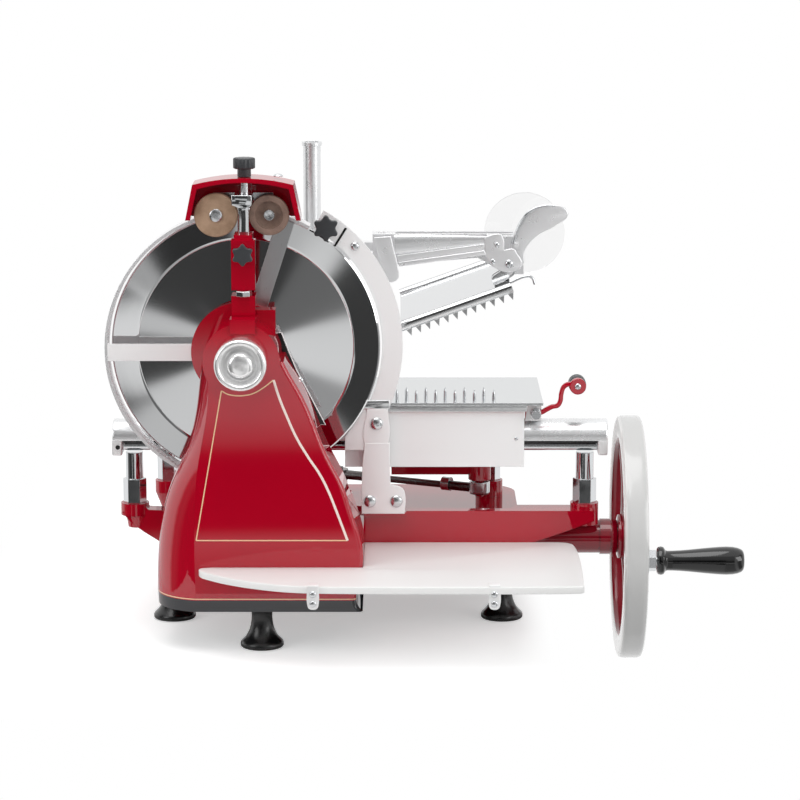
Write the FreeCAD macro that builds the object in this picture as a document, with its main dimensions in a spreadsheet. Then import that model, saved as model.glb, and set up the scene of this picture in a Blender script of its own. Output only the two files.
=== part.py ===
"""Hand crank meat slicer: flywheel, gear drive, round knife and reciprocating meat carriage.

Millimetres, +Z up, +X towards the flywheel, -Y towards the operator.  The origin is the centre
of the underside of the front foot.
"""

import FreeCAD, Part

import math
import os
import re
from types import SimpleNamespace

import Sketcher

Vector = FreeCAD.Vector

# ---------------------------------------------------------------- driving dimensions
SIZES = {
    # running fits and gaps
    "fit": 0.05, "gap": 0.3, "side_gap": 0.5,
    # knife
    "knife_x": -19, "knife_z": 325, "knife_back": 78, "knife_radius": 150, "knife_thick": 3,
    "knife_bevel": 16, "knife_hub_radius": 34, "knife_shaft_radius": 9, "knife_gap": 2,
    # casting walls, feet and base
    "foot_high": 46.5, "foot_radius": 24, "foot_neck": 11, "wall": 7, "deck_top": 120, "deck_thick": 6,
    "base_left": -114, "base_right": 289, "base_back": 297, "base_front": 60, "beam_front": 91,
    "beam_top": 133, "beam_thick": 14, "deck_corner": 40, "rear_foot_x": -106, "side_foot_x": 270,
    "side_foot_y": 127, "hidden_foot_x": 93, "hidden_foot_y": 267,
    # tower
    "tower_front": -31, "tower_right": 112, "tower_head": 42, "tower_back": 35, "tower_wall": 11,
    "housing_x": -22.5, "housing_radius": 55, "housing_thick": 12,
    "housing_right": 14, "cap_radius": 28.5,
    "cap_front": -57, "cap_dish": 14,
    # rails and their posts
    "rail_y": 117, "rail_z": 215.5, "rail_radius": 19, "rail_left": -173,
    "rail_right": 388, "rail_cap": 11, "post_left_x": -149, "post_right_x": 363,
    "post_radius": 10, "post_boss": 16, "boss_top": 138, "collar_high": 28, "collar_flat": 23,
    "back_rail_y": 241, "back_rail_z": 197, "back_rail_radius": 8, "back_post_left": -119.5,
    "back_post_right": 258,
    # receiving tray
    "tray_top": 97, "tray_thick": 8, "tray_left": -66, "tray_right": 350, "tray_front": -120,
    "tray_back": 90, "tray_nose_y": -43, "tray_curve_x": 43, "clip_left_x": 60,
    "clip_right_x": 254, "clip_wide": 12, "clip_high": 25, "clip_sheet": 1.5,
    "support_wide": 10, "support_thick": 5, "screw_radius": 3,
    # guard round the knife
    "ring_thick": 3.5, "ring_front": 52, "ring_back": 80, "ring_open_low": -65,
    "ring_open_high": 62, "spoke_wide": 19, "spoke_thick": 3, "plate_wide": 23,
    "plate_front": 80, "plate_thick": 3.5, "plate_low_z": 252, "bracket_left": 112,
    "bracket_right": 143, "bracket_foot_right": 160, "bracket_bottom": 128,
    "bracket_foot_top": 160, "bracket_top": 250,
    # flywheel, its shaft and handle
    "wheel_y": 137, "wheel_z": 93, "wheel_radius": 139, "rim_deep": 27, "wheel_left": 402,
    "wheel_thick": 27, "wheel_hub": 26, "wheel_shaft": 9, "handle_throw": 120,
    "grip_start": 448, "grip_long": 87, "grip_neck": 11, "grip_end": 16, "handle_bolt": 5,
    "bearing_radius": 19, "bearing_collar": 20.5, "bearing_left": 289,
    # gears and shafts
    "gear_module": 2, "pinion_teeth": 16, "crown_teeth": 32, "gear_wide": 12, "lay_teeth": 18,
    "sprocket_left": 256, "lay_shaft": 7, "crank_x": 28, "crank_y": 187,
    "crank_shaft": 9, "crank_throw": 88, "crank_thick": 9, "crank_pin": 5, "rod_z": 141,
    "rib_left": 92, "rib_right": 238, "chain_y": 5, "chain_wide": 7, "chain_thick": 4,
    "drive_teeth": 40, "driven_teeth": 16, "sprocket_module": 1.5,
    # carriage, table and feed
    "carriage_left": 91, "carriage_right": 293, "cover_bottom": 184, "cover_top": 248,
    "cover_front": 91, "cover_back": 143, "cover_sheet": 1.5, "plate_top": 254.7,
    "carriage_back": 250, "bush_wall": 3, "bush_long": 34, "drive_pin_x": 245,
    "drive_pin_y": 177, "drive_boss": 13, "drive_pin_radius": 5, "rod_eye": 11, "rod_radius": 4,
    "roller_x": 180, "roller_radius": 12, "roller_wide": 14, "roller_pin": 4,
    "table_left": 78, "table_right": 314, "table_front": 87, "table_back": 252,
    "table_top": 258, "table_thick": 3, "spike_first": 149.5, "spike_pitch": 10.9,
    "spike_high": 14, "spike_radius": 1.8, "spike_rows": 15, "screw_x": 306, "screw_z": 245,
    "feed_radius": 5, "feed_arm_out": 47, "feed_arm_up": 31, "feed_arm_thick": 6,
    # meat press
    "press_x": 52, "press_y": 207, "press_radius": 10, "press_top": 540, "press_wall": 2,
    "press_collar_z": 395, "press_collar_high": 42, "press_collar_radius": 16,
    "press_pivot_x": 132, "press_pivot_y": 165, "press_arm_z": 424, "press_arm_end": 282,
    "press_hinge_x": 277, "press_hinge_z": 394, "press_front": 97, "press_back": 250,
    "press_slope": 20, "press_lean": 6, "press_drop": 3, "press_long": 131, "press_tube": 6, "press_sheet": 3,
    "disc_x": 295, "disc_z": 439, "disc_radius": 46,
    # sharpener
    "sharp_x": -17, "sharp_slide_top": 455, "sharp_slide_bottom": 400, "sharp_wide": 26,
    "bracket_head": 394, "hood_left": -81, "hood_right": 45, "hood_bottom": 473,
    "hood_top": 519, "hood_front": 17, "hood_back": 62, "hood_wall": 5, "hood_lean": 8,
    "stone_left_x": -48, "stone_right_x": 10, "stone_z": 477.5, "stone_radius": 24,
    "cup_radius": 22, "stone_front": 27, "stone_thick": 9, "carrier_z": 491.5,
    "carrier_thick": 9, "star_radius": 12, "top_knob_y": 34, "top_knob_high": 20,
    "guard_star": 14.5,
}

doc = FreeCAD.newDocument("slicer")
sheet = doc.addObject("Spreadsheet::Sheet", "Sizes")
for row, (alias, value) in enumerate(SIZES.items(), start=1):
    sheet.set(f"A{row}", alias)
    sheet.set(f"B{row}", str(value))
    sheet.setAlias(f"B{row}", alias)
doc.recompute()
S = SimpleNamespace(**{alias: float(sheet.get(alias)) for alias in SIZES})

pieces = []


# ---------------------------------------------------------------- makers bound to the sheet
def bound(text):
    """An expression on sheet cells, from one written with the bare size names."""
    return re.sub(r"[a-z][a-z_]+", lambda w: f"Sizes.{w[0]}" if w[0] in SIZES else w[0], str(text))


def tie(item, **expressions):
    for path, text in expressions.items():
        item.setExpression(path.replace("_at_", "."), bound(text))


def place(item, x, y, z, axis="Z"):
    """Puts an item at x, y, z with its own Z along the named axis."""
    turns = {
        "Z": FreeCAD.Rotation(),
        "X": FreeCAD.Rotation(Vector(0, 1, 0), 90),
        "Y": FreeCAD.Rotation(Vector(1, 0, 0), -90),
        "-Y": FreeCAD.Rotation(Vector(1, 0, 0), 90),
    }
    item.Placement = FreeCAD.Placement(Vector(), turns[axis])
    tie(item, Placement_at_Base_at_x=x, Placement_at_Base_at_y=y, Placement_at_Base_at_z=z)
    return item


def box(x, y, z, long, deep, high):
    item = doc.addObject("Part::Box", "block")
    tie(item, Length=long, Width=deep, Height=high)
    return place(item, x, y, z)


def rod(axis, x, y, z, radius, long):
    item = doc.addObject("Part::Cylinder", "round")
    tie(item, Radius=radius, Height=long)
    return place(item, x, y, z, axis)


def taper(axis, x, y, z, start_radius, end_radius, long):
    item = doc.addObject("Part::Cone", "taper")
    tie(item, Radius1=start_radius, Radius2=end_radius, Height=long)
    return place(item, x, y, z, axis)


def fuse(*items):
    item = doc.addObject("Part::MultiFuse", "joined")
    item.Shapes = list(items)
    item.Refine = True
    return item


def cut(base, *tools):
    item = doc.addObject("Part::Cut", "cut")
    item.Base = base
    item.Tool = tools[0] if len(tools) == 1 else fuse(*tools)
    return item


def group(*items):
    item = doc.addObject("Part::Compound", "group")
    item.Links = list(items)
    return item


def piece(name, item):
    item.Label = name
    pieces.append(item)
    return item


def own_shape(name, shape, x=0, y=0, z=0, turn=None):
    """A piece whose shape is made with Part's own functions from the sheet's values."""
    item = doc.addObject("Part::Feature", name)
    item.Shape = shape
    item.Placement = FreeCAD.Placement(Vector(x, y, z), turn or FreeCAD.Rotation()) * shape.Placement
    return item


def outline_sketch(body, name, role, corners):
    """A closed outline of straight runs, each corner held by two sheet expressions."""
    sketch = body.newObject("Sketcher::SketchObject", name)
    plane = next(f for f in body.Origin.OriginFeatures if f.Role == role)
    sketch.AttachmentSupport = [(plane, "")]
    sketch.MapMode = "FlatFace"
    count = len(corners)
    ring = [Vector(50 * math.cos(2 * math.pi * n / count), 50 * math.sin(2 * math.pi * n / count), 0)
            for n in range(count)]
    for n in range(count):
        sketch.addGeometry(Part.LineSegment(ring[n], ring[(n + 1) % count]))
    for n in range(count):
        sketch.addConstraint(Sketcher.Constraint("Coincident", n, 2, (n + 1) % count, 1))
    for n, (across, up) in enumerate(corners):
        for kind, text, start in (("DistanceX", across, ring[n].x), ("DistanceY", up, ring[n].y)):
            index = sketch.addConstraint(Sketcher.Constraint(kind, -1, 1, n, 1, start))
            sketch.setExpression(f"Constraints[{index}]", bound(text))
    return sketch


def padded(name, role, corners, thick):
    """A flat piece: an outline on one of its own planes, padded along that plane's normal."""
    body = doc.addObject("PartDesign::Body", name)
    sketch = outline_sketch(body, name + "_outline", role, corners)
    pad = body.newObject("PartDesign::Pad", name + "_pad")
    pad.Profile = sketch
    tie(pad, Length=thick)
    return body


def turned(name, profile):
    """A turned piece about its own Z: the profile is (radius, height) corners."""
    body = doc.addObject("PartDesign::Body", name)
    sketch = outline_sketch(body, name + "_profile", "XZ_Plane", profile)
    spin = body.newObject("PartDesign::Revolution", name + "_turning")
    spin.Profile = sketch
    spin.ReferenceAxis = (sketch, ["V_Axis"])
    spin.Angle = 360
    return body


def gear_shape(teeth, module, wide, bore):
    """A spur wheel along its own Z with straight-sided teeth and running backlash."""
    pitch = teeth * module / 2
    step = 2 * math.pi / teeth
    points = []
    for tooth in range(int(teeth)):
        middle = tooth * step
        for radius, half in ((pitch - 1.2 * module, 0.36), (pitch + 0.9 * module, 0.13)):
            for side in ((-1,) if radius < pitch else (-1, 1)):
                points.append((radius, middle + side * half * step))
        points.append((pitch - 1.2 * module, middle + 0.36 * step))
    corners = [Vector(r * math.cos(a), r * math.sin(a), 0) for r, a in points]
    blank = Part.Face(Part.makePolygon(corners + corners[:1])).extrude(Vector(0, 0, wide))
    return blank.cut(Part.makeCylinder(bore, wide)) if bore else blank


def belt_wire(first, first_radius, second, second_radius):
    """The outer outline of a belt round two wheels in the XZ plane."""
    run = second - first
    lean = math.atan2(run.z, run.x)
    open_angle = math.acos((first_radius - second_radius) / run.Length)

    def rim(centre, radius, angle):
        return centre + Vector(radius * math.cos(angle), 0, radius * math.sin(angle))

    first_up, first_down = lean + open_angle, lean - open_angle
    edges = [
        Part.Arc(rim(first, first_radius, first_up), rim(first, first_radius, lean + math.pi),
                 rim(first, first_radius, first_down)).toShape(),
        Part.makeLine(rim(first, first_radius, first_down), rim(second, second_radius, first_down)),
        Part.Arc(rim(second, second_radius, first_down), rim(second, second_radius, lean),
                 rim(second, second_radius, first_up)).toShape(),
        Part.makeLine(rim(second, second_radius, first_up), rim(first, first_radius, first_up)),
    ]
    return Part.Wire(edges)


def flat_bar(points, wide, thick, radius=None):
    """A flat bar in the XZ plane along straight runs, with round ends, thick along +Y."""
    shape = None
    half = (radius or wide / 2)
    for n, point in enumerate(points):
        disc = Part.makeCylinder(half, thick, point, Vector(0, 1, 0))
        shape = disc if shape is None else shape.fuse(disc)
        if n:
            run = point - points[n - 1]
            side = run.cross(Vector(0, 1, 0)).normalize() * (wide / 2)
            corners = [points[n - 1] + side, point + side, point - side, points[n - 1] - side]
            shape = shape.fuse(Part.Face(Part.makePolygon(corners + corners[:1]))
                               .extrude(Vector(0, thick, 0)))
    return shape.removeSplitter()


def chain_inner(teeth):
    """The inner radius of a chain where it lies on a sprocket."""
    return (teeth / 2 + 0.9) * S.sprocket_module + S.gap


# ---------------------------------------------------------------- tower casting
def tower_section(z, front_left, left, right):
    """One level of the tower in plan: flat front, rounded left shoulder, square back."""
    front, back = S.tower_front, S.base_front
    shoulder = S.tower_back + 2
    small = 5
    points = [Vector(front_left, front, z), Vector(right - small, front, z),
              Vector(right, front + small, z), Vector(right, back, z), Vector(left, back, z),
              Vector(left, shoulder, z)]
    bulge = Vector(left + 0.27 * (front_left - left), front + 0.27 * (shoulder - front), z)
    corner = Vector(right - 0.3 * small, front + 0.3 * small, z)
    return Part.Wire([
        Part.makeLine(points[0], points[1]), Part.Arc(points[1], corner, points[2]).toShape(),
        Part.makeLine(points[2], points[3]), Part.makeLine(points[3], points[4]),
        Part.makeLine(points[4], points[5]), Part.Arc(points[5], bulge, points[0]).toShape(),
    ])


def tower():
    """Leaning hollow casting that carries the knife: lofted flanks under a round head."""
    front_edge = S.tower_right - 184
    levels = [
        (S.foot_high, front_edge, S.base_left, S.tower_right),
        (S.tray_top, front_edge, S.base_left, S.tower_right),
        (S.beam_top - 5, front_edge, S.base_left + 3, S.tower_right - 2),
        (150, front_edge + 0.5, S.base_left + 7, S.tower_right - 9),
        (185, front_edge + 2, S.base_left + 18, S.tower_right - 20),
        (217, front_edge + 6, S.base_left + 32, S.tower_right - 36),
        (254, front_edge + 13, S.base_left + 43, S.tower_right - 51),
        (289, front_edge + 17, S.base_left + 48, S.tower_right - 66),
        (S.knife_z, S.knife_x - S.tower_head + 4, S.knife_x - S.tower_head - 1,
         S.knife_x + S.tower_head + 4),
    ]
    body = Part.makeLoft([tower_section(*level) for level in levels], True, False)
    step = S.knife_z - S.knife_radius - S.knife_gap - S.ring_thick - 6
    behind = Part.makeBox(400, 60, 400, Vector(-200, S.tower_back, step))
    body = body.cut(behind)
    deep = S.tower_back - S.tower_front
    axis = Vector(0, 1, 0)
    head = Part.makeCylinder(S.tower_head, deep, Vector(S.knife_x, S.tower_front, S.knife_z), axis)
    strap_low = S.knife_z + S.cap_radius + 2
    strap = Part.makeBox(S.sharp_wide + 2, deep + 3, S.knife_z + S.tower_head + 5 - strap_low,
                         Vector(S.sharp_x - S.sharp_wide / 2 - 1, S.tower_front - 3, strap_low))
    lug = Part.makeBox(21, 22, 30, Vector(S.knife_x + 15, S.tower_back - 27, S.knife_z + 21))
    body = body.fuse([head, strap, lug])
    chest_front = S.tower_front + S.tower_wall
    chest_deep = S.tower_back - S.wall - chest_front
    low = Vector(S.crank_x, chest_front, S.wheel_z)
    high = Vector(S.knife_x, chest_front, S.knife_z)
    low_room, high_room = [chain_inner(teeth) + S.chain_thick + 1 for teeth in
                           (S.drive_teeth, S.driven_teeth)]
    chest = Part.Face(belt_wire(low, low_room, high, high_room)).extrude(Vector(0, chest_deep, 0))
    window = Part.makeBox(54, S.wall + 1, 70, Vector(S.knife_x - 22, S.tower_back - S.wall - 0.5, 192))
    knife_bore = Part.makeCylinder(S.knife_shaft_radius + S.fit, deep + 2,
                                   Vector(S.knife_x, S.tower_front - 1, S.knife_z), axis)
    cross_bore = Part.makeCylinder(S.lay_shaft + S.fit, S.base_front,
                                   Vector(S.crank_x, S.chain_y, S.wheel_z), axis)
    body = body.cut([chest, window, knife_bore, cross_bore])
    return own_shape("tower", body)


piece("tower_casting", tower())
piece("tower_back_cover", box("knife_x - 28", "tower_back", 186, 66, 2.5, 82))
piece("bearing_housing", cut(
    rod("Y", "housing_x", "tower_back", "knife_z", "housing_radius", "housing_thick"),
    rod("Y", "knife_x", "tower_back - 1", "knife_z", "knife_shaft_radius + fit", "housing_thick + 2"),
    box("housing_right", "tower_back - 1", "knife_z - housing_radius - 1", "housing_radius",
        "housing_thick + 2", "2 * housing_radius + 2")))


# ---------------------------------------------------------------- base casting
def base():
    """Hollow iron base, open below, with the rail bosses, bearing ribs and foot pads."""
    floor = "foot_high"
    shells = fuse(
        box("base_left", "base_front", floor, "tower_right - base_left", "base_back - base_front",
            "deck_top - foot_high"),
        box("tower_right", "beam_front", floor, "base_right - tower_right - deck_corner",
            "base_back - beam_front", "deck_top - foot_high"),
        box("tower_right", "beam_front", floor, "base_right - tower_right",
            "base_back - beam_front - deck_corner", "deck_top - foot_high"),
        rod("Z", "base_right - deck_corner", "base_back - deck_corner", floor, "deck_corner",
            "deck_top - foot_high"))
    beam = padded("beam", "XZ_Plane", [
        ("tower_right", "beam_top"), ("tower_right", "tray_top - 12"), ("base_right - 5", "tray_top - 8"),
        ("post_right_x - 11", "tray_top + 16"), ("post_right_x + 10", "tray_top + 24"),
        ("post_right_x + 10", "beam_top")], "beam_thick")
    place(beam, 0, "beam_front + beam_thick", 0)
    left_arm = padded("left_arm", "XZ_Plane", [
        ("post_left_x - 14", "boss_top - 10"), ("post_left_x - 4", "boss_top - 22"),
        ("post_left_x + 11", "boss_top - 33"), ("base_left - 5", "boss_top - 45"),
        ("base_left + 5", "boss_top - 54"), ("base_left + 5", "deck_top + 10"),
        ("post_left_x + 16", "deck_top + 11"), ("post_left_x + 12", "boss_top - 2")], 22)
    bosses = [
        rod("Z", "post_left_x", "rail_y", "boss_top - 14", "post_boss", 14),
        taper("Z", "post_left_x + 3", "rail_y", "boss_top - 28", 11, "post_boss - 2", 18),
        place(left_arm, 0, "rail_y + 11", 0),
        rod("Z", "post_right_x", "rail_y", "boss_top - 25", "post_boss", 25),
        box("base_right - 10", "rail_y - 13", "boss_top - 24", "post_right_x - base_right + 10", 24, 18),
        rod("Z", "back_post_left", "back_rail_y", "boss_top - 14", "post_boss", 14),
        taper("Z", "back_post_left", "back_rail_y", "boss_top - 42", 5, "post_boss", 28),
        rod("Z", "back_post_right", "back_rail_y", "deck_top - 1", "post_boss", "boss_top - deck_top + 1"),
        rod("Z", "crank_x", "crank_y", "deck_top - 1", "crank_shaft + 9", 3),
    ]
    pad_left = box("bracket_left", "plate_front + plate_thick + gap", "bracket_bottom",
                   "bracket_foot_right - bracket_left", "beam_front - plate_front - plate_thick",
                   "beam_top - bracket_bottom")
    hollows = [
        box("base_left + wall", "base_front + wall", "foot_high - 1",
            "tower_right - base_left - 2 * wall", "base_back - base_front - 2 * wall",
            "deck_top - deck_thick - foot_high + 1"),
        box("tower_right - wall - 1", "beam_front + wall", "foot_high - 1",
            "base_right - tower_right + 1", "base_back - beam_front - 2 * wall - deck_corner + 4",
            "deck_top - deck_thick - foot_high + 1"),
        box("tower_right - wall - 1", "beam_front + wall", "foot_high - 1",
            "base_right - tower_right + 1 - deck_corner", "base_back - beam_front - 2 * wall",
            "deck_top - deck_thick - foot_high + 1"),
    ]
    shell = cut(fuse(shells, beam, *bosses, pad_left), *hollows)
    ribs = [box(rib, "beam_front + 1", "foot_high + 8", "wall", "base_back - beam_front - 4",
                "deck_top - foot_high - 9") for rib in ("rib_left", "rib_right")]
    pads = [
        box("base_left + 1", "rail_y - 6", "foot_high", 36, 36, 9),
        box("side_foot_x - 16", "beam_front + 1", "foot_high", "base_right - side_foot_x + 15", 50, 9),
        box("hidden_foot_x - 16", "hidden_foot_y - 16", "foot_high", 32, "base_back - hidden_foot_y + 15", 9),
        box("base_right - wall", "beam_front + 1", "foot_high",
            "wall", "base_back - beam_front - deck_corner", "deck_top - foot_high - 1"),
        rod("X", "base_right - wall - 3", "wheel_y", "wheel_z", 16, "wall + 3"),
    ]
    bores = [
        rod("X", "rib_left - 1", "crank_y", "wheel_z", "lay_shaft + fit", "rib_right - rib_left + wall + 2"),
        rod("X", "rib_right - 1", "wheel_y", "wheel_z", "wheel_shaft + fit", "base_right - rib_right + 2"),
        rod("Y", "crank_x", "base_front - 1", "wheel_z", "lay_shaft + fit", "wall + 2"),
        rod("Z", "crank_x", "crank_y", "deck_top - deck_thick - 1", "crank_shaft + fit", "deck_thick + 4"),
    ]
    return cut(fuse(shell, *ribs, *pads), *bores)


piece("base_casting", base())


# ---------------------------------------------------------------- feet
def feet():
    """Four moulded bell feet, one below the tower and three below the base."""
    places = [(0, 0), ("rear_foot_x", "rail_y + 10"), ("side_foot_x", "side_foot_y"),
              ("hidden_foot_x", "hidden_foot_y")]
    items = []
    for number, (x, y) in enumerate(places, start=1):
        body = turned(f"foot_{number}", [
            (0, 0), ("foot_radius - 1", 0), ("foot_radius", 2), ("foot_radius", 6),
            ("foot_radius - 3", 9), ("foot_neck + 4", 16), ("foot_neck", 24),
            ("foot_neck", "foot_high - 10"), ("foot_neck + 3", "foot_high - 6"),
            ("foot_neck + 3", "foot_high"), (0, "foot_high")])
        items.append(place(body, x, y, 0))
    return group(*items)


piece("feet", feet())


# ---------------------------------------------------------------- rails
def rail_posts():
    """Chrome posts with hexagon collars, four in all."""
    items = []
    seats = [("post_left_x", "rail_y", "rail_z - rail_radius"),
             ("post_right_x", "rail_y", "rail_z - rail_radius"),
             ("back_post_left", "back_rail_y", "back_rail_z - back_rail_radius"),
             ("back_post_right", "back_rail_y", "back_rail_z - back_rail_radius")]
    for x, y, top in seats:
        collar = doc.addObject("Part::Prism", "collar")
        collar.Polygon = 6
        tie(collar, Circumradius="collar_flat / sqrt(3)", Height="collar_high")
        place(collar, x, y, "boss_top")
        shank = rod("Z", x, y, "boss_top + collar_high - 1", "post_radius",
                    f"{top} - boss_top - collar_high + 1")
        items.append(fuse(collar, shank))
    return group(*items)


piece("rail_posts", rail_posts())
piece("front_rail", rod("X", "rail_left + rail_cap", "rail_y", "rail_z", "rail_radius",
                        "rail_right - rail_left - 2 * rail_cap"))
piece("rail_end_caps", group(
    rod("X", "rail_left", "rail_y", "rail_z", "rail_radius + 1", "rail_cap"),
    rod("X", "rail_right - rail_cap", "rail_y", "rail_z", "rail_radius + 1", "rail_cap")))
piece("rear_rail", rod("X", "back_post_left - 14", "back_rail_y", "back_rail_z", "back_rail_radius",
                       "back_post_right - back_post_left + 28"))


# ---------------------------------------------------------------- receiving tray
def tray():
    """White plastic plate that catches the slices, its left nose swept back to the tower."""
    body = padded("tray", "XY_Plane", [
        ("tray_left + 3", "tray_nose_y + 9"), ("tray_left", "tray_nose_y"),
        ("tray_left + 14", "tray_nose_y - 20"), ("tray_left + 38", "tray_nose_y - 44"),
        ("tray_left + 70", "tray_front + 14"), ("tray_curve_x", "tray_front + 2"),
        ("tray_curve_x + 30", "tray_front"), ("tray_right", "tray_front"),
        ("tray_right", "tray_back - 16"), ("tray_right - 5", "tray_back - 5"),
        ("tray_right - 16", "tray_back"), ("tower_right + gap", "tray_back"),
        ("tower_right + gap", "tower_front - gap"), ("tray_left + 12", "tower_front - gap")],
        "tray_thick")
    return place(body, 0, 0, "tray_top - tray_thick")


piece("receiving_tray", tray())
piece("tray_supports", group(*[
    box(f"{x} - support_wide / 2", start, "tray_top - tray_thick - support_thick", "support_wide",
        f"{end} - {start}", "support_thick")
    for x, start, end in (("clip_left_x", "tray_front", "tower_front"),
                          ("clip_right_x", "tray_front", "beam_front"))]))


def clips():
    """Bent stainless clips over the tray's front edge, two screws in each."""
    items = []
    for x in ("clip_left_x", "clip_right_x"):
        left = f"{x} - clip_wide / 2"
        front = "tray_front - gap - clip_sheet"
        sheet_metal = fuse(
            box(left, front, "tray_top - clip_high", "clip_wide", "clip_sheet", "clip_high + clip_sheet"),
            box(left, front, "tray_top", "clip_wide", "9 + clip_sheet", "clip_sheet"))
        items.append(sheet_metal)
        for drop in (8, 18):
            items.append(rod("-Y", x, front, f"tray_top - {drop}", "screw_radius", 2))
    return group(*items)


piece("tray_clips", clips())


# ---------------------------------------------------------------- knife and its shaft
piece("blade", cut(
    fuse(rod("Y", "knife_x", "knife_back - knife_thick", "knife_z",
             "knife_radius - knife_bevel", "knife_thick"),
         taper("Y", "knife_x", "knife_back - knife_thick", "knife_z", "knife_radius - knife_bevel",
               "knife_radius", "knife_thick")),
    rod("Y", "knife_x", "knife_back - knife_thick - 1", "knife_z", "knife_shaft_radius", "knife_thick + 2")))
piece("blade_hub", fuse(
    cut(rod("Y", "knife_x", "knife_back - knife_thick - 16", "knife_z", "knife_hub_radius", 16),
        rod("Y", "knife_x", "knife_back - knife_thick - 17", "knife_z", "knife_shaft_radius", 18)),
    cut(rod("Y", "knife_x", "knife_back", "knife_z", 22, 5),
        rod("Y", "knife_x", "knife_back - 1", "knife_z", "knife_shaft_radius", 7))))
piece("blade_shaft", rod("Y", "knife_x", "tower_front - 8", "knife_z", "knife_shaft_radius",
                         "knife_back + 5 - tower_front + 8"))


def hub_cap():
    """Turned chrome cap on the end of the knife shaft: raised rim, dished face, small dome."""
    body = turned("hub_cap", [
        ("knife_shaft_radius", 0), ("cap_radius - 4", 0), ("cap_radius - 1", 8), ("cap_radius", 13),
        ("cap_radius", "tower_front - cap_front - gap - 3"),
        ("cap_radius - 3", "tower_front - cap_front - gap"),
        ("cap_radius - 5", "tower_front - cap_front - gap - 1"),
        ("cap_dish + 2", "tower_front - cap_front - gap - 7"),
        ("cap_dish", "tower_front - cap_front - gap - 4"), (9, "tower_front - cap_front - gap"),
        (0, "tower_front - cap_front - gap + 1"), (0, 8), ("knife_shaft_radius", 8)])
    return place(body, "knife_x", "tower_front - gap", "knife_z", "-Y")


piece("hub_cap", hub_cap())


def toothed(name, teeth, module, wide, bore, x, y, z, axis):
    """A toothed wheel whose own Z lies along the named axis."""
    turn = {"X": FreeCAD.Rotation(Vector(0, 1, 0), 90), "Y": FreeCAD.Rotation(Vector(1, 0, 0), -90),
            "Z": FreeCAD.Rotation()}[axis]
    return own_shape(name, gear_shape(teeth, module, wide, bore), x, y, z, turn)


piece("driven_sprocket", toothed("driven", S.driven_teeth, S.sprocket_module, S.chain_wide,
                                 S.knife_shaft_radius, S.knife_x, S.chain_y, S.knife_z, "Y"))


def chain_loop(low, high, low_teeth, high_teeth, wide):
    """A closed roller chain round two sprockets, made as one band."""
    inner = [chain_inner(low_teeth), chain_inner(high_teeth)]
    outer = [radius + S.chain_thick for radius in inner]
    band = Part.Face(belt_wire(low, outer[0], high, outer[1])).extrude(wide)
    return band.cut(Part.Face(belt_wire(low, inner[0], high, inner[1])).extrude(wide))


def chains():
    """The knife's long chain in the tower, and the short one from wheel shaft to layshaft."""
    wide = Vector(0, S.chain_wide, 0)
    knife = chain_loop(Vector(S.crank_x, S.chain_y, S.wheel_z), Vector(S.knife_x, S.chain_y, S.knife_z),
                       S.drive_teeth, S.driven_teeth, wide)
    short = chain_loop(Vector(), Vector(S.crank_y - S.wheel_y, 0, 0), S.lay_teeth, S.lay_teeth, wide)
    short.rotate(Vector(), Vector(0, 0, 1), 90)
    short.translate(Vector(S.sprocket_left + S.chain_wide, S.wheel_y, S.wheel_z))
    return group(own_shape("knife_chain", knife), own_shape("short_chain", short))


piece("drive_chains", chains())


# ---------------------------------------------------------------- guard round the knife
def arc_plate(inner, outer, low, high, start, thick):
    """A ring sector about the knife axis, between two angles measured from +X."""
    ring = Part.makeCylinder(outer, thick).cut(Part.makeCylinder(inner, thick))
    sector = Part.makeCylinder(outer + 1, thick, Vector(), Vector(0, 0, 1), high - low)
    sector.rotate(Vector(), Vector(0, 0, 1), low)
    shape = ring.common(sector)
    shape.rotate(Vector(), Vector(1, 0, 0), 90)
    shape.translate(Vector(S.knife_x, start + thick, S.knife_z))
    return shape


def ring_guard():
    """Rolled guard ring, open on the right where the meat meets the knife."""
    inner = S.knife_radius + S.knife_gap
    ring = arc_plate(inner, inner + S.ring_thick, S.ring_open_high, 360 + S.ring_open_low,
                     S.ring_front, S.ring_back - S.ring_front)
    return own_shape("ring", ring)


piece("ring_guard", ring_guard())


GUARD_ARMS = ((180, 2.7), (72, 0), (-69, 0))


def guard_spokes():
    """Three flat arms from the bearing housing to the ring, each with its turn and its drop."""
    start = S.tower_back + S.housing_thick
    reach = S.knife_radius + S.knife_gap + 0.5
    bars = None
    for angle, drop in GUARD_ARMS:
        turn = math.radians(angle)
        along = Vector(math.cos(turn), 0, math.sin(turn))
        side = Vector(-math.sin(turn), 0, math.cos(turn)) * (S.spoke_wide / 2)
        near, far = along * 40, along * reach
        corners = [near + side, far + side, far - side, near - side]
        bar = Part.Face(Part.makePolygon(corners + corners[:1])).extrude(Vector(0, S.spoke_thick, 0))
        tip = Part.Face(Part.makePolygon([
            far + side, far - side, far - side - along * 3, far + side - along * 3,
            far + side])).extrude(Vector(0, 9, 0))
        bar = bar.fuse(tip)
        bar.translate(Vector(0, 0, -drop))
        bars = bar if bars is None else bars.fuse(bar)
    ring = Part.makeCylinder(44, S.spoke_thick, Vector(), Vector(0, 1, 0)).cut(
        Part.makeCylinder(37, S.spoke_thick, Vector(), Vector(0, 1, 0)))
    shape = bars.fuse(ring)
    shape.translate(Vector(S.knife_x, start, S.knife_z))
    limit = Part.makeCylinder(S.knife_radius + S.knife_gap, 40, Vector(S.knife_x, start - 1, S.knife_z),
                              Vector(0, 1, 0))
    return own_shape("spokes", shape.common(limit).removeSplitter())


piece("guard_spokes", guard_spokes())


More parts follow.
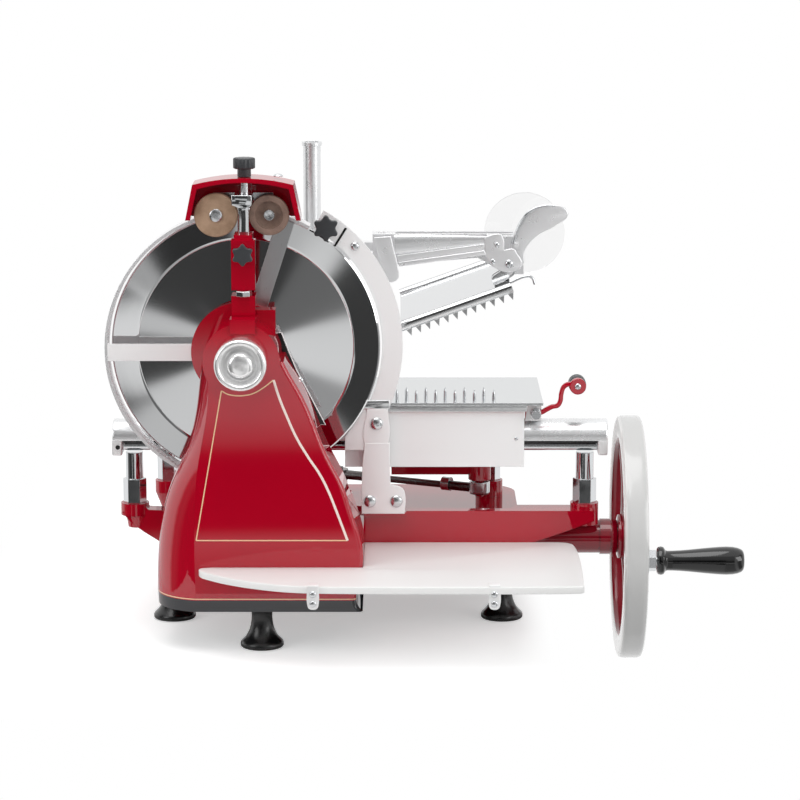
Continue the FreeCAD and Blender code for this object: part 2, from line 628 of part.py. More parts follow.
def guard_plate():
    """Crescent plate on the right of the knife, cut off straight at its foot."""
    inner = S.knife_radius + S.knife_gap
    outer = inner + S.plate_wide
    plate = arc_plate(inner, outer, -38, S.ring_open_high - 2, S.plate_front, S.plate_thick)
    below = Part.makeBox(outer, S.plate_thick, outer, Vector(S.knife_x, S.plate_front,
                                                             S.plate_low_z - outer))
    plate = plate.cut(below).removeSplitter()
    return own_shape("crescent", plate)


piece("guard_plate", guard_plate())


def plate_bracket():
    """Upright sheet bracket behind the crescent plate, its foot turned to the right."""
    body = padded("bracket", "XZ_Plane", [
        ("bracket_left", "bracket_bottom"), ("bracket_foot_right", "bracket_bottom"),
        ("bracket_foot_right", "bracket_foot_top - 6"), ("bracket_foot_right - 6", "bracket_foot_top"),
        ("bracket_right + 3", "bracket_foot_top"), ("bracket_right", "bracket_foot_top + 4"),
        ("bracket_right", "plate_low_z"), ("bracket_left", "plate_low_z")],
        "plate_thick")
    return place(body, 0, "plate_front + plate_thick", 0)


piece("guard_plate_bracket", plate_bracket())
piece("bracket_screws", group(*[
    rod("-Y", x, "plate_front", z, radius, 3)
    for x, z, radius in (("bracket_left + 9", "bracket_foot_top - 15", 6),
                         ("bracket_foot_right - 9", "bracket_foot_top - 15", 6),
                         ("bracket_left + 16", "plate_low_z - 18", 7),
                         ("knife_x + 0.735 * (knife_radius + plate_wide / 2)",
                          "knife_z + 0.68 * (knife_radius + plate_wide / 2)", 4))]))

# ---------------------------------------------------------------- flywheel and handle


def flywheel():
    """Cast wheel: heavy rounded rim, five swept spokes, hub and the handle's boss."""
    rim = turned("rim", [
        ("wheel_radius - rim_deep + 4", 0), ("wheel_radius - 5", 0),
        ("wheel_radius - 1", 3), ("wheel_radius", 8),
        ("wheel_radius", "wheel_thick - 8"), ("wheel_radius - 1", "wheel_thick - 3"),
        ("wheel_radius - 5", "wheel_thick"), ("wheel_radius - rim_deep + 4", "wheel_thick"),
        ("wheel_radius - rim_deep", "wheel_thick - 5"), ("wheel_radius - rim_deep", 5)])
    place(rim, "wheel_left", "wheel_y", "wheel_z", "X")
    hub = rod("X", "wheel_left", "wheel_y", "wheel_z", "wheel_hub", "wheel_thick")
    boss = rod("X", "wheel_left + 5", "wheel_y - handle_throw", "wheel_z", 14, "wheel_thick - 5")
    shape = None
    inner, outer = S.wheel_hub - 3, S.wheel_radius - S.rim_deep + 3
    for number in range(5):
        middle = (inner + outer) / 2
        points = [Vector(0, radius * math.cos(angle), radius * math.sin(angle)) for radius, angle in
                  ((inner, 0.0), (middle, 0.24), (outer, 0.30))]
        path = Part.Wire([Part.Arc(*points).toShape()])
        start = path.Edges[0].tangentAt(path.Edges[0].FirstParameter)
        section = Part.Wire([Part.Ellipse(Vector(0, 0, 0), 9.5, 6.5).toShape()])
        section.Placement = FreeCAD.Placement(points[0], FreeCAD.Rotation(Vector(0, 0, 1), start))
        spoke = path.makePipeShell([section], True, False)
        spoke.rotate(Vector(), Vector(1, 0, 0), number * 72 + 36)
        shape = spoke if shape is None else shape.fuse(spoke)
    spokes = own_shape("spokes", shape, S.wheel_left + S.wheel_thick / 2, S.wheel_y, S.wheel_z)
    return cut(fuse(rim, hub, boss, spokes),
               rod("X", "wheel_left - 1", "wheel_y", "wheel_z", "wheel_shaft", "wheel_thick + 2"),
               rod("X", "wheel_left - 1", "wheel_y - handle_throw", "wheel_z", "handle_bolt",
                   "wheel_thick + 2"))


piece("flywheel", flywheel())
piece("flywheel_shaft", rod("X", "rib_right - 4", "wheel_y", "wheel_z", "wheel_shaft",
                            "wheel_left + wheel_thick + 10 - rib_right"))
piece("wheel_bearing", cut(
    fuse(rod("X", "bearing_left", "wheel_y", "wheel_z", "bearing_radius",
             "wheel_left - bearing_left - side_gap"),
         rod("X", "post_right_x + post_boss + 3", "wheel_y", "wheel_z", "bearing_collar", 12),
         taper("X", "bearing_left", "wheel_y", "wheel_z", "bearing_radius + 4", "bearing_radius", 30)),
    rod("X", "bearing_left - 1", "wheel_y", "wheel_z", "wheel_shaft + fit", 120)))
piece("wheel_sprocket", toothed("wheel_sprocket", S.lay_teeth, S.sprocket_module, S.chain_wide,
                                S.wheel_shaft, S.sprocket_left, S.wheel_y, S.wheel_z, "X"))


def handle_bolt():
    """Steel bolt through the rim with its nut, washer bead and shank for the grip."""
    nut = doc.addObject("Part::Prism", "nut")
    nut.Polygon = 6
    tie(nut, Circumradius=12, Height=8)
    place(nut, "wheel_left + wheel_thick", "wheel_y - handle_throw", "wheel_z", "X")
    return fuse(nut, rod("X", "wheel_left", "wheel_y - handle_throw", "wheel_z", "handle_bolt",
                         "grip_start + grip_long - 8 - wheel_left"))


piece("handle_bolt", handle_bolt())


def handle_grip():
    """Turned glossy grip that spins on its bolt: bead, waist and swelling end."""
    body = turned("grip", [
        ("handle_bolt + fit", -10), ("grip_end - 3", -10), ("grip_end", -7), ("grip_end", -4),
        ("grip_end - 2", -1), ("grip_neck", 2), ("grip_neck + 1", 16), ("grip_neck + 3", 34),
        ("grip_end - 1", 54), ("grip_end", 68), ("grip_end - 1", "grip_long - 9"),
        ("grip_end - 5", "grip_long - 2"), ("grip_end - 9", "grip_long"), (0, "grip_long"),
        (0, "grip_long - 8 + gap"), ("handle_bolt + fit", "grip_long - 8 + gap")])
    return place(body, "grip_start", "wheel_y - handle_throw", "wheel_z", "X")


piece("handle_grip", handle_grip())


# ---------------------------------------------------------------- gear train inside the base
CROWN_PITCH = S.crown_teeth * S.gear_module / 2
PINION_START = CROWN_PITCH - S.gear_wide / 2
piece("layshaft", fuse(
    rod("X", "crank_x + crown_teeth * gear_module / 2 - gear_wide / 2", "crank_y", "wheel_z", "lay_shaft",
        "sprocket_left + chain_wide + 5 - crank_x - crown_teeth * gear_module / 2 + gear_wide / 2"),
    toothed("lay_sprocket", S.lay_teeth, S.sprocket_module, S.chain_wide, 0, S.sprocket_left,
            S.crank_y, S.wheel_z, "X"),
    toothed("lay_pinion", S.pinion_teeth, S.gear_module, S.gear_wide, 0, S.crank_x + PINION_START,
            S.crank_y, S.wheel_z, "X")))
piece("cross_shaft", fuse(
    rod("Y", "crank_x", "chain_y - 12", "wheel_z", "lay_shaft",
        "crank_y - crown_teeth * gear_module / 2 + gear_wide / 2 - chain_y + 12"),
    toothed("cross_pinion", S.pinion_teeth, S.gear_module, S.gear_wide, 0, S.crank_x,
            S.crank_y - PINION_START - S.gear_wide, S.wheel_z, "Y")))
piece("drive_sprocket", toothed("drive", S.drive_teeth, S.sprocket_module, S.chain_wide,
                                S.lay_shaft, S.crank_x, S.chain_y, S.wheel_z, "Y"))
piece("crank_shaft", rod("Z", "crank_x", "crank_y", "foot_high + 6", "crank_shaft",
                         "deck_top + crank_thick + 4 - foot_high - 6"))


def crown_gear():
    """Flat wheel on the crank shaft with a ring of teeth on its upper face."""
    pitch = CROWN_PITCH
    face = S.wheel_z - S.pinion_teeth * S.gear_module / 2 - 1.2 * S.gear_module
    blank = Part.makeCylinder(pitch + 7, 7, Vector(0, 0, face - 7))
    teeth = []
    for number in range(int(S.crown_teeth)):
        tooth = Part.makeBox(8, 1.2, 1.7 * S.gear_module, Vector(pitch - 3.5, -0.6, face - 0.1))
        tooth.rotate(Vector(), Vector(0, 0, 1), (number + 0.5) * 360 / S.crown_teeth)
        teeth.append(tooth)
    shape = blank.fuse(teeth).cut(Part.makeCylinder(S.crank_shaft, 90))
    return own_shape("crown", shape, S.crank_x, S.crank_y, 0)


piece("crown_gear", crown_gear())


def crank_arm():
    """Forged arm on top of the crank shaft, its pin reaching up to the connecting rod."""
    start = S.deck_top + 4
    arm = flat_bar([Vector(0, 0, 0), Vector(S.crank_throw, 0, 0)], 20, S.crank_thick)
    arm = arm.fuse(Part.makeCylinder(18, S.crank_thick, Vector(), Vector(0, 1, 0)))
    arm = arm.cut(Part.makeCylinder(S.crank_shaft, S.crank_thick, Vector(), Vector(0, 1, 0)))
    arm.rotate(Vector(), Vector(1, 0, 0), 90)
    arm.rotate(Vector(), Vector(0, 0, 1), math.degrees(math.atan2(4, 3)))
    pin_spot = Vector(S.crank_throw * 0.6, S.crank_throw * 0.8, 0)
    pin = Part.makeCylinder(S.crank_pin + 2, S.rod_z - 6 - S.gap - start, pin_spot)
    return own_shape("crank", arm.fuse(pin), S.crank_x, S.crank_y, start)


piece("crank_arm", crank_arm())


# ---------------------------------------------------------------- meat carriage
def carriage():
    """Iron carriage: top plate, two bush housings, drive boss and the rear roller's cheek."""
    plate = box("carriage_left - 3", "table_front + 1", "cover_top", "carriage_right - carriage_left + 6",
                "carriage_back - table_front - 1", "plate_top - cover_top")
    housings = [box(x, "rail_y - rail_radius - bush_wall - 1", "rail_z - 6", "bush_long",
                    "2 * (rail_radius + bush_wall + 1)", "cover_top - rail_z + 7")
                for x in ("carriage_left + 6", "carriage_right - 6 - bush_long")]
    sleeves = [rod("X", x, "rail_y", "rail_z", "rail_radius + bush_wall + 1", "bush_long")
               for x in ("carriage_left + 6", "carriage_right - 6 - bush_long")]
    boss = rod("Z", "drive_pin_x", "drive_pin_y", "rod_z + 11", "drive_boss", "cover_top - rod_z - 10")
    pin = rod("Z", "drive_pin_x", "drive_pin_y", "rod_z - 9", "drive_pin_radius", 24)
    bar = box("drive_pin_x - 102", "drive_pin_y - 5", 158, 100, 10, 9)
    riser = box("drive_pin_x - 102", "drive_pin_y - 5", 158, 9, 10, "cover_top - 157")
    cheek = box("roller_x - 10", "back_rail_y - roller_wide / 2 - 5", "back_rail_z + 10", 20, 4,
                "cover_top - back_rail_z - 9")
    roller_pin = rod("Y", "roller_x", "back_rail_y - roller_wide / 2 - 3", ROLLER_Z, "roller_pin",
                     "roller_wide + 5")
    lugs = [box("carriage_right + 1", y, "screw_z - 9", "table_right - carriage_right - 3", 7,
                "plate_top - screw_z + 9") for y in ("table_front + 9", "table_back - 20")]
    bores = [rod("X", "carriage_left", "rail_y", "rail_z", "rail_radius + bush_wall", 210),
             rod("Y", "screw_x", "table_front", "screw_z", "feed_radius + fit", 170)]
    return cut(fuse(plate, *housings, *sleeves, boss, pin, bar, riser, cheek, roller_pin, *lugs), *bores)


ROLLER_Z = "back_rail_z + back_rail_radius + roller_radius + gap"
piece("carriage_casting", carriage())


def cover():
    """Folded stainless skirt round the carriage, pierced at both ends for the rail."""
    high = "cover_top - cover_bottom"
    long, deep = "carriage_right - carriage_left", "cover_back - cover_front"
    shell = box("carriage_left", "cover_front", "cover_bottom", long, deep, high)
    inside = box("carriage_left + cover_sheet", "cover_front + cover_sheet", "cover_bottom - 1",
                 f"{long} - 2 * cover_sheet", f"{deep} - 2 * cover_sheet", f"{high} + 2")
    hole = rod("X", "carriage_left - 1", "rail_y", "rail_z", "rail_radius + 1.5", f"{long} + 2")
    return cut(shell, fuse(inside, hole))


piece("carriage_cover", cover())
piece("slide_bushes", group(*[
    cut(rod("X", x, "rail_y", "rail_z", "rail_radius + bush_wall", "bush_long"),
        rod("X", f"{x} - 1", "rail_y", "rail_z", "rail_radius + fit", "bush_long + 2"))
    for x in ("carriage_left + 6", "carriage_right - 6 - bush_long")]))
piece("rear_roller", cut(
    rod("Y", "roller_x", "back_rail_y - roller_wide / 2", ROLLER_Z, "roller_radius", "roller_wide"),
    rod("Y", "roller_x", "back_rail_y - roller_wide / 2 - 1", ROLLER_Z, "roller_pin + fit",
        "roller_wide + 2")))


def connecting_rod():
    """Rod between the carriage pin and the crank, an eye at the carriage, a bolted eye over the crank pin."""
    far = Vector(S.crank_x + 0.6 * S.crank_throw - S.drive_pin_x,
                 S.crank_y + 0.8 * S.crank_throw - S.drive_pin_y, 0)
    lean = math.degrees(math.atan2(far.y, far.x))
    long = far.Length
    up = Vector(0, 0, 1)
    shape = Part.makeCylinder(S.rod_radius, long - 8, Vector(4, 0, 0), Vector(1, 0, 0))
    for x in (0, long):
        shape = shape.fuse(Part.makeCylinder(S.rod_eye, 12, Vector(x, 0, -6), up))
        shank = 8 if x == 0 else -36
        shape = shape.fuse(Part.makeCylinder(S.rod_radius + 1.5, 28, Vector(x + shank, 0, 0),
                                             Vector(1, 0, 0)))
    shape = shape.cut(Part.makeCylinder(S.drive_pin_radius + S.fit, 14, Vector(0, 0, -7), up))
    shape = shape.fuse(Part.makeCylinder(S.crank_pin, 3, Vector(long, 0, 6), up))
    return own_shape("rod", shape, S.drive_pin_x, S.drive_pin_y, S.rod_z,
                     FreeCAD.Rotation(up, lean))


piece("connecting_rod", connecting_rod())


# ---------------------------------------------------------------- meat table and its feed
def meat_table():
    """Stainless table plate with the feed nut below it and a lug for the press post."""
    plate = box("table_left", "table_front", "table_top - table_thick", "table_right - table_left",
                "table_back - table_front", "table_thick")
    lug = box("press_x - 16", "press_y - 17", "table_top - table_thick - 5",
              "table_left - press_x + 21", 34, "table_thick + 5")
    nut = box("screw_x - 7", "table_front + 24", "screw_z - 7", 14, 10,
              "table_top - table_thick - screw_z + 8")
    lug_room = box("carriage_left - 4", "press_y - 18", "table_top - table_thick - 6", 20, 36,
                   "table_thick - 3 + 6")
    thread = rod("Y", "screw_x", "table_front", "screw_z", "feed_radius + fit", 90)
    return cut(fuse(plate, cut(lug, lug_room), nut), thread)


piece("meat_table", meat_table())


def spikes():
    """Eleven cone spikes in two staggered rows that hold the meat."""
    items = []
    for number in range(11):
        row = f"table_front + 8 + {number % 2} * spike_rows"
        items.append(taper("Z", f"spike_first + {number} * spike_pitch", row, "table_top",
                           "spike_radius", 0.4, "spike_high"))
    return group(*items)


piece("table_spikes", spikes())
piece("press_post", cut(
    fuse(rod("Z", "press_x", "press_y", "table_top", "press_radius", "press_top - table_top"),
         rod("Z", "press_x", "press_y", "press_top - 4", "press_radius + 1.5", 4),
         rod("Z", "press_x", "press_y", "table_top", "press_radius + 5", 6)),
    rod("Z", "press_x", "press_y", "table_top + 20", "press_radius - press_wall",
        "press_top - table_top")))
piece("feed_screw", rod("Y", "screw_x", "table_front - 6", "screw_z", "feed_radius",
                        "table_back - table_front - 6"))


def feed_lever():
    """Swan-necked ratchet lever on the end of the feed screw, with a silver pin in its eye."""
    low, high = Vector(0, 0, 0), Vector(S.feed_arm_out, 0, S.feed_arm_up)
    bends = [low, Vector(22, 0, 4), Vector(28, 0, 10), Vector(31, 0, 26), Vector(35, 0, 31), high]
    arm = flat_bar(bends, 9, S.feed_arm_thick)
    for spot in (low, high):
        arm = arm.fuse(Part.makeCylinder(9.5, S.feed_arm_thick, spot, Vector(0, 1, 0)))
    pin = Part.makeCylinder(4, S.feed_arm_thick + 20, high - Vector(0, 1, 0), Vector(0, 1, 0))
    bore = Part.makeCylinder(S.feed_radius + S.fit, S.feed_arm_thick, low, Vector(0, 1, 0))
    return own_shape("feed_arm", arm.fuse(pin).cut(bore), S.screw_x, S.table_front - 4, S.screw_z)


piece("feed_lever", feed_lever())
piece("feed_knob", cut(
    rod("Y", "screw_x + feed_arm_out", "table_front + 2 + gap", "screw_z + feed_arm_up", 10.5, 24),
    rod("Y", "screw_x + feed_arm_out", "table_front + 1", "screw_z + feed_arm_up", 4.05, 23)))


# ---------------------------------------------------------------- meat press
def press_collar():
    """Sleeve that slides on the post, with the bar and upright pin that carry the arm."""
    sleeve = rod("Z", "press_x", "press_y", "press_collar_z", "press_collar_radius", "press_collar_high")
    bar = box("press_x", "press_y - 7", "press_collar_z + 10", "press_pivot_x - press_x", 14, 20)
    side = box("press_pivot_x - 8", "press_pivot_y - 1", "press_collar_z + 10", 14,
               "press_y + 7 - press_pivot_y + 1", 20)
    hub = rod("Z", "press_pivot_x", "press_pivot_y", "press_collar_z + 6", 9, 28)
    pin = rod("Z", "press_pivot_x", "press_pivot_y", "press_collar_z - 4", 5, 48)
    bolt = rod("X", "press_pivot_x - 18", "press_pivot_y", "press_collar_z + 20", 5, 12)
    bore = rod("Z", "press_x", "press_y", "press_collar_z - 1", "press_radius + fit",
               "press_collar_high + 2")
    return cut(fuse(sleeve, bar, side, hub, pin, bolt), bore)


piece("press_collar", press_collar())


def press_arm():
    """Forked channel arm on the upright pin, its end bracket dropping to the press plate."""
    bottom, high = S.press_collar_z - 5, 50
    pivot = Vector(S.press_pivot_x, S.press_pivot_y, 0)
    ears = [Part.makeBox(26, 22, 9, pivot + Vector(-10, -11, bottom)),
            Part.makeBox(26, 22, 8, pivot + Vector(-10, -11, bottom + high - 8 + 1))]
    spine = Part.makeBox(5, 22, high + 1, pivot + Vector(11, -11, bottom))
    front = Part.makeBox(26, 3, high + 1, pivot + Vector(-10, -14, bottom))
    near = pivot.x + 14
    channel = Part.Face(Part.makePolygon([
        Vector(near, 0, 0), Vector(S.press_arm_end, 0, 12), Vector(S.press_arm_end, 0, 36),
        Vector(near, 0, 36), Vector(near, 0, 0)])).extrude(Vector(0, 22, 0))
    room = Part.makeBox(200, 18, 40, Vector(near - 1, 2, 3))
    end = Part.Face(Part.makePolygon([
        Vector(-38, 0, 22), Vector(-32, 0, 40), Vector(16, 0, 12), Vector(16, 0, 2),
        Vector(-4, 0, 2), Vector(-38, 0, 22)])).extrude(Vector(0, 5, 0))
    end.translate(Vector(S.press_hinge_x, pivot.y - 22, S.press_hinge_z))
    channel = channel.cut(room)
    channel.translate(Vector(0, pivot.y - 11, bottom + 15))
    neck = Part.makeBox(14, 10, 26, Vector(S.press_hinge_x - 26, pivot.y - 20, S.press_hinge_z + 20))
    hinge_lug = Part.makeCylinder(6, 5, Vector(S.press_hinge_x, pivot.y - 22, S.press_hinge_z + 6),
                                  Vector(0, 1, 0))
    hinge_pin = Part.makeCylinder(3, 34, Vector(S.press_hinge_x, pivot.y - 36, S.press_hinge_z + 6),
                                  Vector(0, 1, 0))
    lever_spot = Vector(S.press_arm_end + 2, pivot.y - 40, S.press_hinge_z + 37)
    lever_pin = Part.makeCylinder(3, 24, lever_spot, Vector(0, 1, 0))
    lever_lug = Part.makeBox(22, 8, 16, lever_spot + Vector(-14, 21, -8))
    shape = ears[0].fuse([ears[1], spine, front, channel, end, neck,
                          hinge_lug, hinge_pin, lever_pin, lever_lug])
    bore = Part.makeCylinder(5 + S.fit, high + 4, pivot + Vector(0, 0, bottom - 1), Vector(0, 0, 1))
    return own_shape("arm", shape.cut(bore))


piece("press_arm", press_arm())
piece("hand_guard_disc", cut(
    rod("Y", "disc_x", "press_pivot_y + 11 + gap", "disc_z", "disc_radius", 3),
    rod("Y", "disc_x - 26", "press_pivot_y + 11", "disc_z - 22", 2.5, 4)))


def press_plate():
    """Sloping press plate: sheet between two rolled edge tubes, teeth below, two hanger ears."""
    deep = S.press_back - S.press_front
    along = Vector(0, 1, 0)
    sheet_metal = Part.makeBox(S.press_long, deep, S.press_sheet, Vector(-S.press_long, 0, -2))
    shape = sheet_metal.fuse([
        Part.makeCylinder(S.press_tube, S.press_long + 2, Vector(-S.press_long, 4, 0), Vector(1, 0, 0)),
        Part.makeCylinder(S.press_tube, S.press_long + 2, Vector(-S.press_long, deep - 4, 0),
                          Vector(1, 0, 0))])
    teeth = []
    for number in range(int((S.press_long + 1) / 11)):
        start = -S.press_long + 4 + number * 11
        tooth = Part.Face(Part.makePolygon([
            Vector(start, 2, -4), Vector(start + 8, 2, -4), Vector(start + 4, 2, -14),
            Vector(start, 2, -4)])).extrude(Vector(0, 3, 0))
        teeth.append(tooth)
    shape = shape.fuse(teeth)
    shape.rotate(Vector(), along, -S.press_slope)
    hinge = Vector(0, S.press_pivot_y - 22 - S.press_front, 6)
    shape.rotate(hinge, Vector(1, 0, 0), S.press_lean)
    shape.translate(Vector(0, 0, -S.press_drop))
    for start in (-8, 5.5):
        ear = flat_bar([Vector(-14, 0, -3), Vector(0, 0, 6)], 12, 7)
        ear.translate(Vector(0, hinge.y + start, 0))
        shape = shape.fuse(ear)
    shape = shape.cut(Part.makeCylinder(3 + S.fit, 60, hinge - Vector(0, 30, 0), along))
    return own_shape("plate", shape, S.press_hinge_x, S.press_front, S.press_hinge_z)


piece("press_plate", press_plate())


def press_lever():
    """Spoon-shaped steel lever: a narrow tang at the pin, widening to a rounded paddle."""
    pin = Vector(S.press_arm_end + 2, 0, S.press_hinge_z + 37)
    rim = [Vector(x, 0, z) for x, z in ((5, -10), (9, -6), (16, 2), (27, 9), (40, 15), (50, 21),
                                        (57, 29), (57, 37), (51, 43), (42, 45), (31, 43), (20, 38),
                                        (9, 31), (3, 21), (-3, 9), (-8, 4), (-8, -6), (-2, -10))]
    curve = Part.BSplineCurve()
    curve.interpolate(rim, PeriodicFlag=True)
    blade = Part.Face(Part.Wire([curve.toShape()])).extrude(Vector(0, 9, 0))
    blade = blade.cut(Part.makeCylinder(3 + S.fit, 12, Vector(0, -1, 0), Vector(0, 1, 0)))
    return own_shape("lever", blade, pin.x, S.press_pivot_y - 29, pin.z)


piece("press_lever", press_lever())


# ---------------------------------------------------------------- sharpener
SHARP_LEFT = "sharp_x - sharp_wide / 2"
piece("sharpener_bracket", fuse(
    box(SHARP_LEFT, -10, "knife_z + tower_head + 5", "sharp_wide", 30,
        "bracket_head - knife_z - tower_head - 5"),
    box("sharp_x - 8", 8, "bracket_head - 1", 16, 8, "sharp_slide_top - bracket_head - 5"),
    rod("-Y", "sharp_x", 8, "bracket_head + 2", 4, 12)))
piece("sharpener_slide", fuse(
    box(SHARP_LEFT, -8, "sharp_slide_bottom", "sharp_wide", 15.7, "sharp_slide_top - sharp_slide_bottom"),
    box("sharp_x - 10", -6, "sharp_slide_top - 1", 20, 32, 6)))
piece("sharpener_star_knob", fuse(
    rod("-Y", "sharp_x", "-8 - gap", "sharp_slide_top - 16", 5, 6),
    rod("-Y", "sharp_x", "-8 - gap - 6", "sharp_slide_top - 16", "star_radius", 8)))
piece("stone_carrier", fuse(
    rod("Z", "sharp_x", 18, "sharp_slide_top + 5", 5.5, "carrier_z - sharp_slide_top - 5"),
    box("sharp_x - 11", 12, "carrier_z", 20, 39.5, "carrier_thick"),
    box("stone_left_x - 4", 46, "carrier_z", "stone_right_x - stone_left_x + 8", 5.5, "carrier_thick"),
    box("stone_left_x - 6", "stone_front + stone_thick + 10", "stone_z - 8",
        12, 5.5, "carrier_z - stone_z + 10"),
    box("stone_right_x - 6", "stone_front + stone_thick + 10", "stone_z - 8",
        12, 5.5, "carrier_z - stone_z + 10"),
    rod("Z", "sharp_x", "top_knob_y", "carrier_z + carrier_thick - 1", 6,
        "hood_top - hood_wall - carrier_z - carrier_thick + 1 - gap")))


def hood():
    """Cast hood over the stones: crowned roof, leaning sides and a back wall, open in front."""
    def arch(inset, front, back):
        left, right = S.hood_left + inset, S.hood_right - inset
        low, top = S.hood_bottom - (inset and 1), S.hood_top - inset
        lean, middle = S.hood_lean, (left + right) / 2
        corners = [Vector(left, 0, low), Vector(left + lean, 0, top - 7), Vector(middle, 0, top),
                   Vector(right - lean, 0, top - 7), Vector(right, 0, low)]
        wire = Part.Wire([Part.makeLine(corners[0], corners[1]),
                          Part.Arc(corners[1], corners[2], corners[3]).toShape(),
                          Part.makeLine(corners[3], corners[4]), Part.makeLine(corners[4], corners[0])])
        solid = Part.Face(wire).extrude(Vector(0, back - front, 0))
        solid.translate(Vector(0, front, 0))
        return solid

    shell = arch(0, S.hood_front, S.hood_back).cut(
        arch(S.hood_wall, S.hood_front - 1, S.hood_back - S.hood_wall))
    hole = Part.makeCylinder(4.5, 30, Vector(S.sharp_x, S.top_knob_y, S.hood_top - 20))
    ring_room = Part.makeCylinder(S.knife_radius + S.knife_gap + S.ring_thick + 1.5, 40,
                                  Vector(S.knife_x, S.ring_front - 2, S.knife_z), Vector(0, 1, 0))
    return own_shape("hood", shell.cut([hole, ring_room]))


piece("sharpener_hood", hood())
piece("grinding_stone", cut(
    fuse(rod("Y", "stone_left_x", "stone_front", "stone_z", "stone_radius", "stone_thick"),
         rod("Y", "stone_left_x", "stone_front - 2", "stone_z", 7, 4),
         rod("Y", "stone_left_x", "stone_front + stone_thick", "stone_z", 5, "10 - gap")),
    rod("Y", "stone_left_x", "stone_front - 3", "stone_z", 2, 2)))
piece("honing_stone", fuse(
    cut(rod("Y", "stone_right_x", "stone_front", "stone_z", "cup_radius", "stone_thick"),
        rod("Y", "stone_right_x", "stone_front - 1", "stone_z", "cup_radius - 7", 6)),
    rod("Y", "stone_right_x", "stone_front + 1", "stone_z", 6, 5),
    rod("Y", "stone_right_x", "stone_front + stone_thick", "stone_z", 5, "10 - gap")))
piece("sharpener_top_knob", fuse(
    rod("Z", "sharp_x", "top_knob_y", "hood_top - hood_wall", 4.2, 10),
    rod("Z", "sharp_x", "top_knob_y", "hood_top + gap", 7.5, "top_knob_high - 10"),
    rod("Z", "sharp_x", "top_knob_y", "hood_top + top_knob_high - 10", "star_radius", 11)))
piece("guard_star_knob", fuse(
    rod("-Y", "knife_x + 90", "plate_front - gap", "knife_z + 133", 4, 7),
    rod("-Y", "knife_x + 90", "plate_front - gap - 7", "knife_z + 133", "guard_star", 8)))

# ---------------------------------------------------------------- check and write
doc.recompute()
failed = [item.Label for item in doc.Objects if {"Invalid", "Error"} & set(item.State)]
for item in pieces:
    if item.Shape.isNull() or not item.Shape.isValid():
        failed.append(item.Label)
if failed:
    raise SystemExit("these did not build: " + ", ".join(failed))

os.makedirs("parts", exist_ok=True)
for item in pieces:
    item.Shape.exportStep(f"parts/{item.Label}.step")
print(len(pieces), "pieces written")
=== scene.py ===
"""Hand crank meat slicer: red enamelled castings, chrome rails, a round knife and a white flywheel.

The sections follow the machine as it is put together, from the castings up to the sharpener, and end
with the studio. Lengths in the tables are millimetres, turned to metres where a mesh is made.
"""

from math import cos, pi, radians, sin

import bmesh
import bpy
from mathutils import Matrix, Vector


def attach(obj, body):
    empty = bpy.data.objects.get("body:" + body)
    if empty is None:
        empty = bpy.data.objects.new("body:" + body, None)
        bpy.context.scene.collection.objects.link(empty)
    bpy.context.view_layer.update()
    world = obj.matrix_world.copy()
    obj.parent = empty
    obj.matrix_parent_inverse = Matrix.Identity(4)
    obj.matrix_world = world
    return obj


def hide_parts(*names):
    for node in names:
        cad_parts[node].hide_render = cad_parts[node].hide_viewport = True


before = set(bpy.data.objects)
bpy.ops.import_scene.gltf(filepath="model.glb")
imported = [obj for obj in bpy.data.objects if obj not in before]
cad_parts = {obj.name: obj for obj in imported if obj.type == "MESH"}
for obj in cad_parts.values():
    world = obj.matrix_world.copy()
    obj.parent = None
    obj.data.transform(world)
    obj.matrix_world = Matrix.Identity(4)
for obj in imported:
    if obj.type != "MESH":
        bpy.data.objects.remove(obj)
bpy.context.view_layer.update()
MM = 0.001

# ---------------------------------------------------------------- tower and base castings
# The hollow iron tower and base are cast in sand, filled, sprayed deep red and stoved to a glassy
# enamel. A slate band is masked off round the foot of both, edged by a fine cream line.


def linear(code):
    """The linear colour of an sRGB hex code, with its alpha."""
    parts = [int(code[k : k + 2], 16) / 255 for k in (0, 2, 4)]
    return [p / 12.92 if p <= 0.04045 else ((p + 0.055) / 1.055) ** 2.4 for p in parts] + [1.0]


def add(made, kind, settings=None, inputs=None):
    """Adds a node to a material or world. Inputs are values, hex colours, or sockets to link."""
    node = made.node_tree.nodes.new("ShaderNode" + kind)
    for name, value in (settings or {}).items():
        setattr(node, name, value)
    for name, value in (inputs or {}).items():
        if isinstance(value, bpy.types.NodeSocket):
            made.node_tree.links.new(value, node.inputs[name])
        else:
            node.inputs[name].default_value = linear(value) if isinstance(value, str) else value
    return node


def surface(name, **values):
    """A material with these values on its shader's own sockets, and the shader."""
    made = bpy.data.materials.new(name)
    made.use_nodes = True
    shader = made.node_tree.nodes["Principled BSDF"]
    for socket, value in values.items():
        shader.inputs[socket.replace("_", " ")].default_value = (
            linear(value) if isinstance(value, str) else value
        )
    return made, shader


def dress(node, made):
    """Gives a CAD node its material."""
    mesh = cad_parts[node].data
    mesh.materials.clear()
    mesh.materials.append(made)


def cells(size):
    """The scale of a noise on Object coordinates whose cells are this many mm across."""
    return 1 / (size * MM)


def relief(made, shader, grain, height, edge=0.0):
    """Feeds a fine relief from a height socket to the shader, over softly broken edges."""
    settings = {"Height": grain, "Strength": 1.0, "Distance": height}
    if edge:
        settings["Normal"] = add(made, "Bevel", {"samples": 6}, {"Radius": edge}).outputs[0]
    bump = add(made, "Bump", None, settings)
    made.node_tree.links.new(bump.outputs["Normal"], shader.inputs["Normal"])


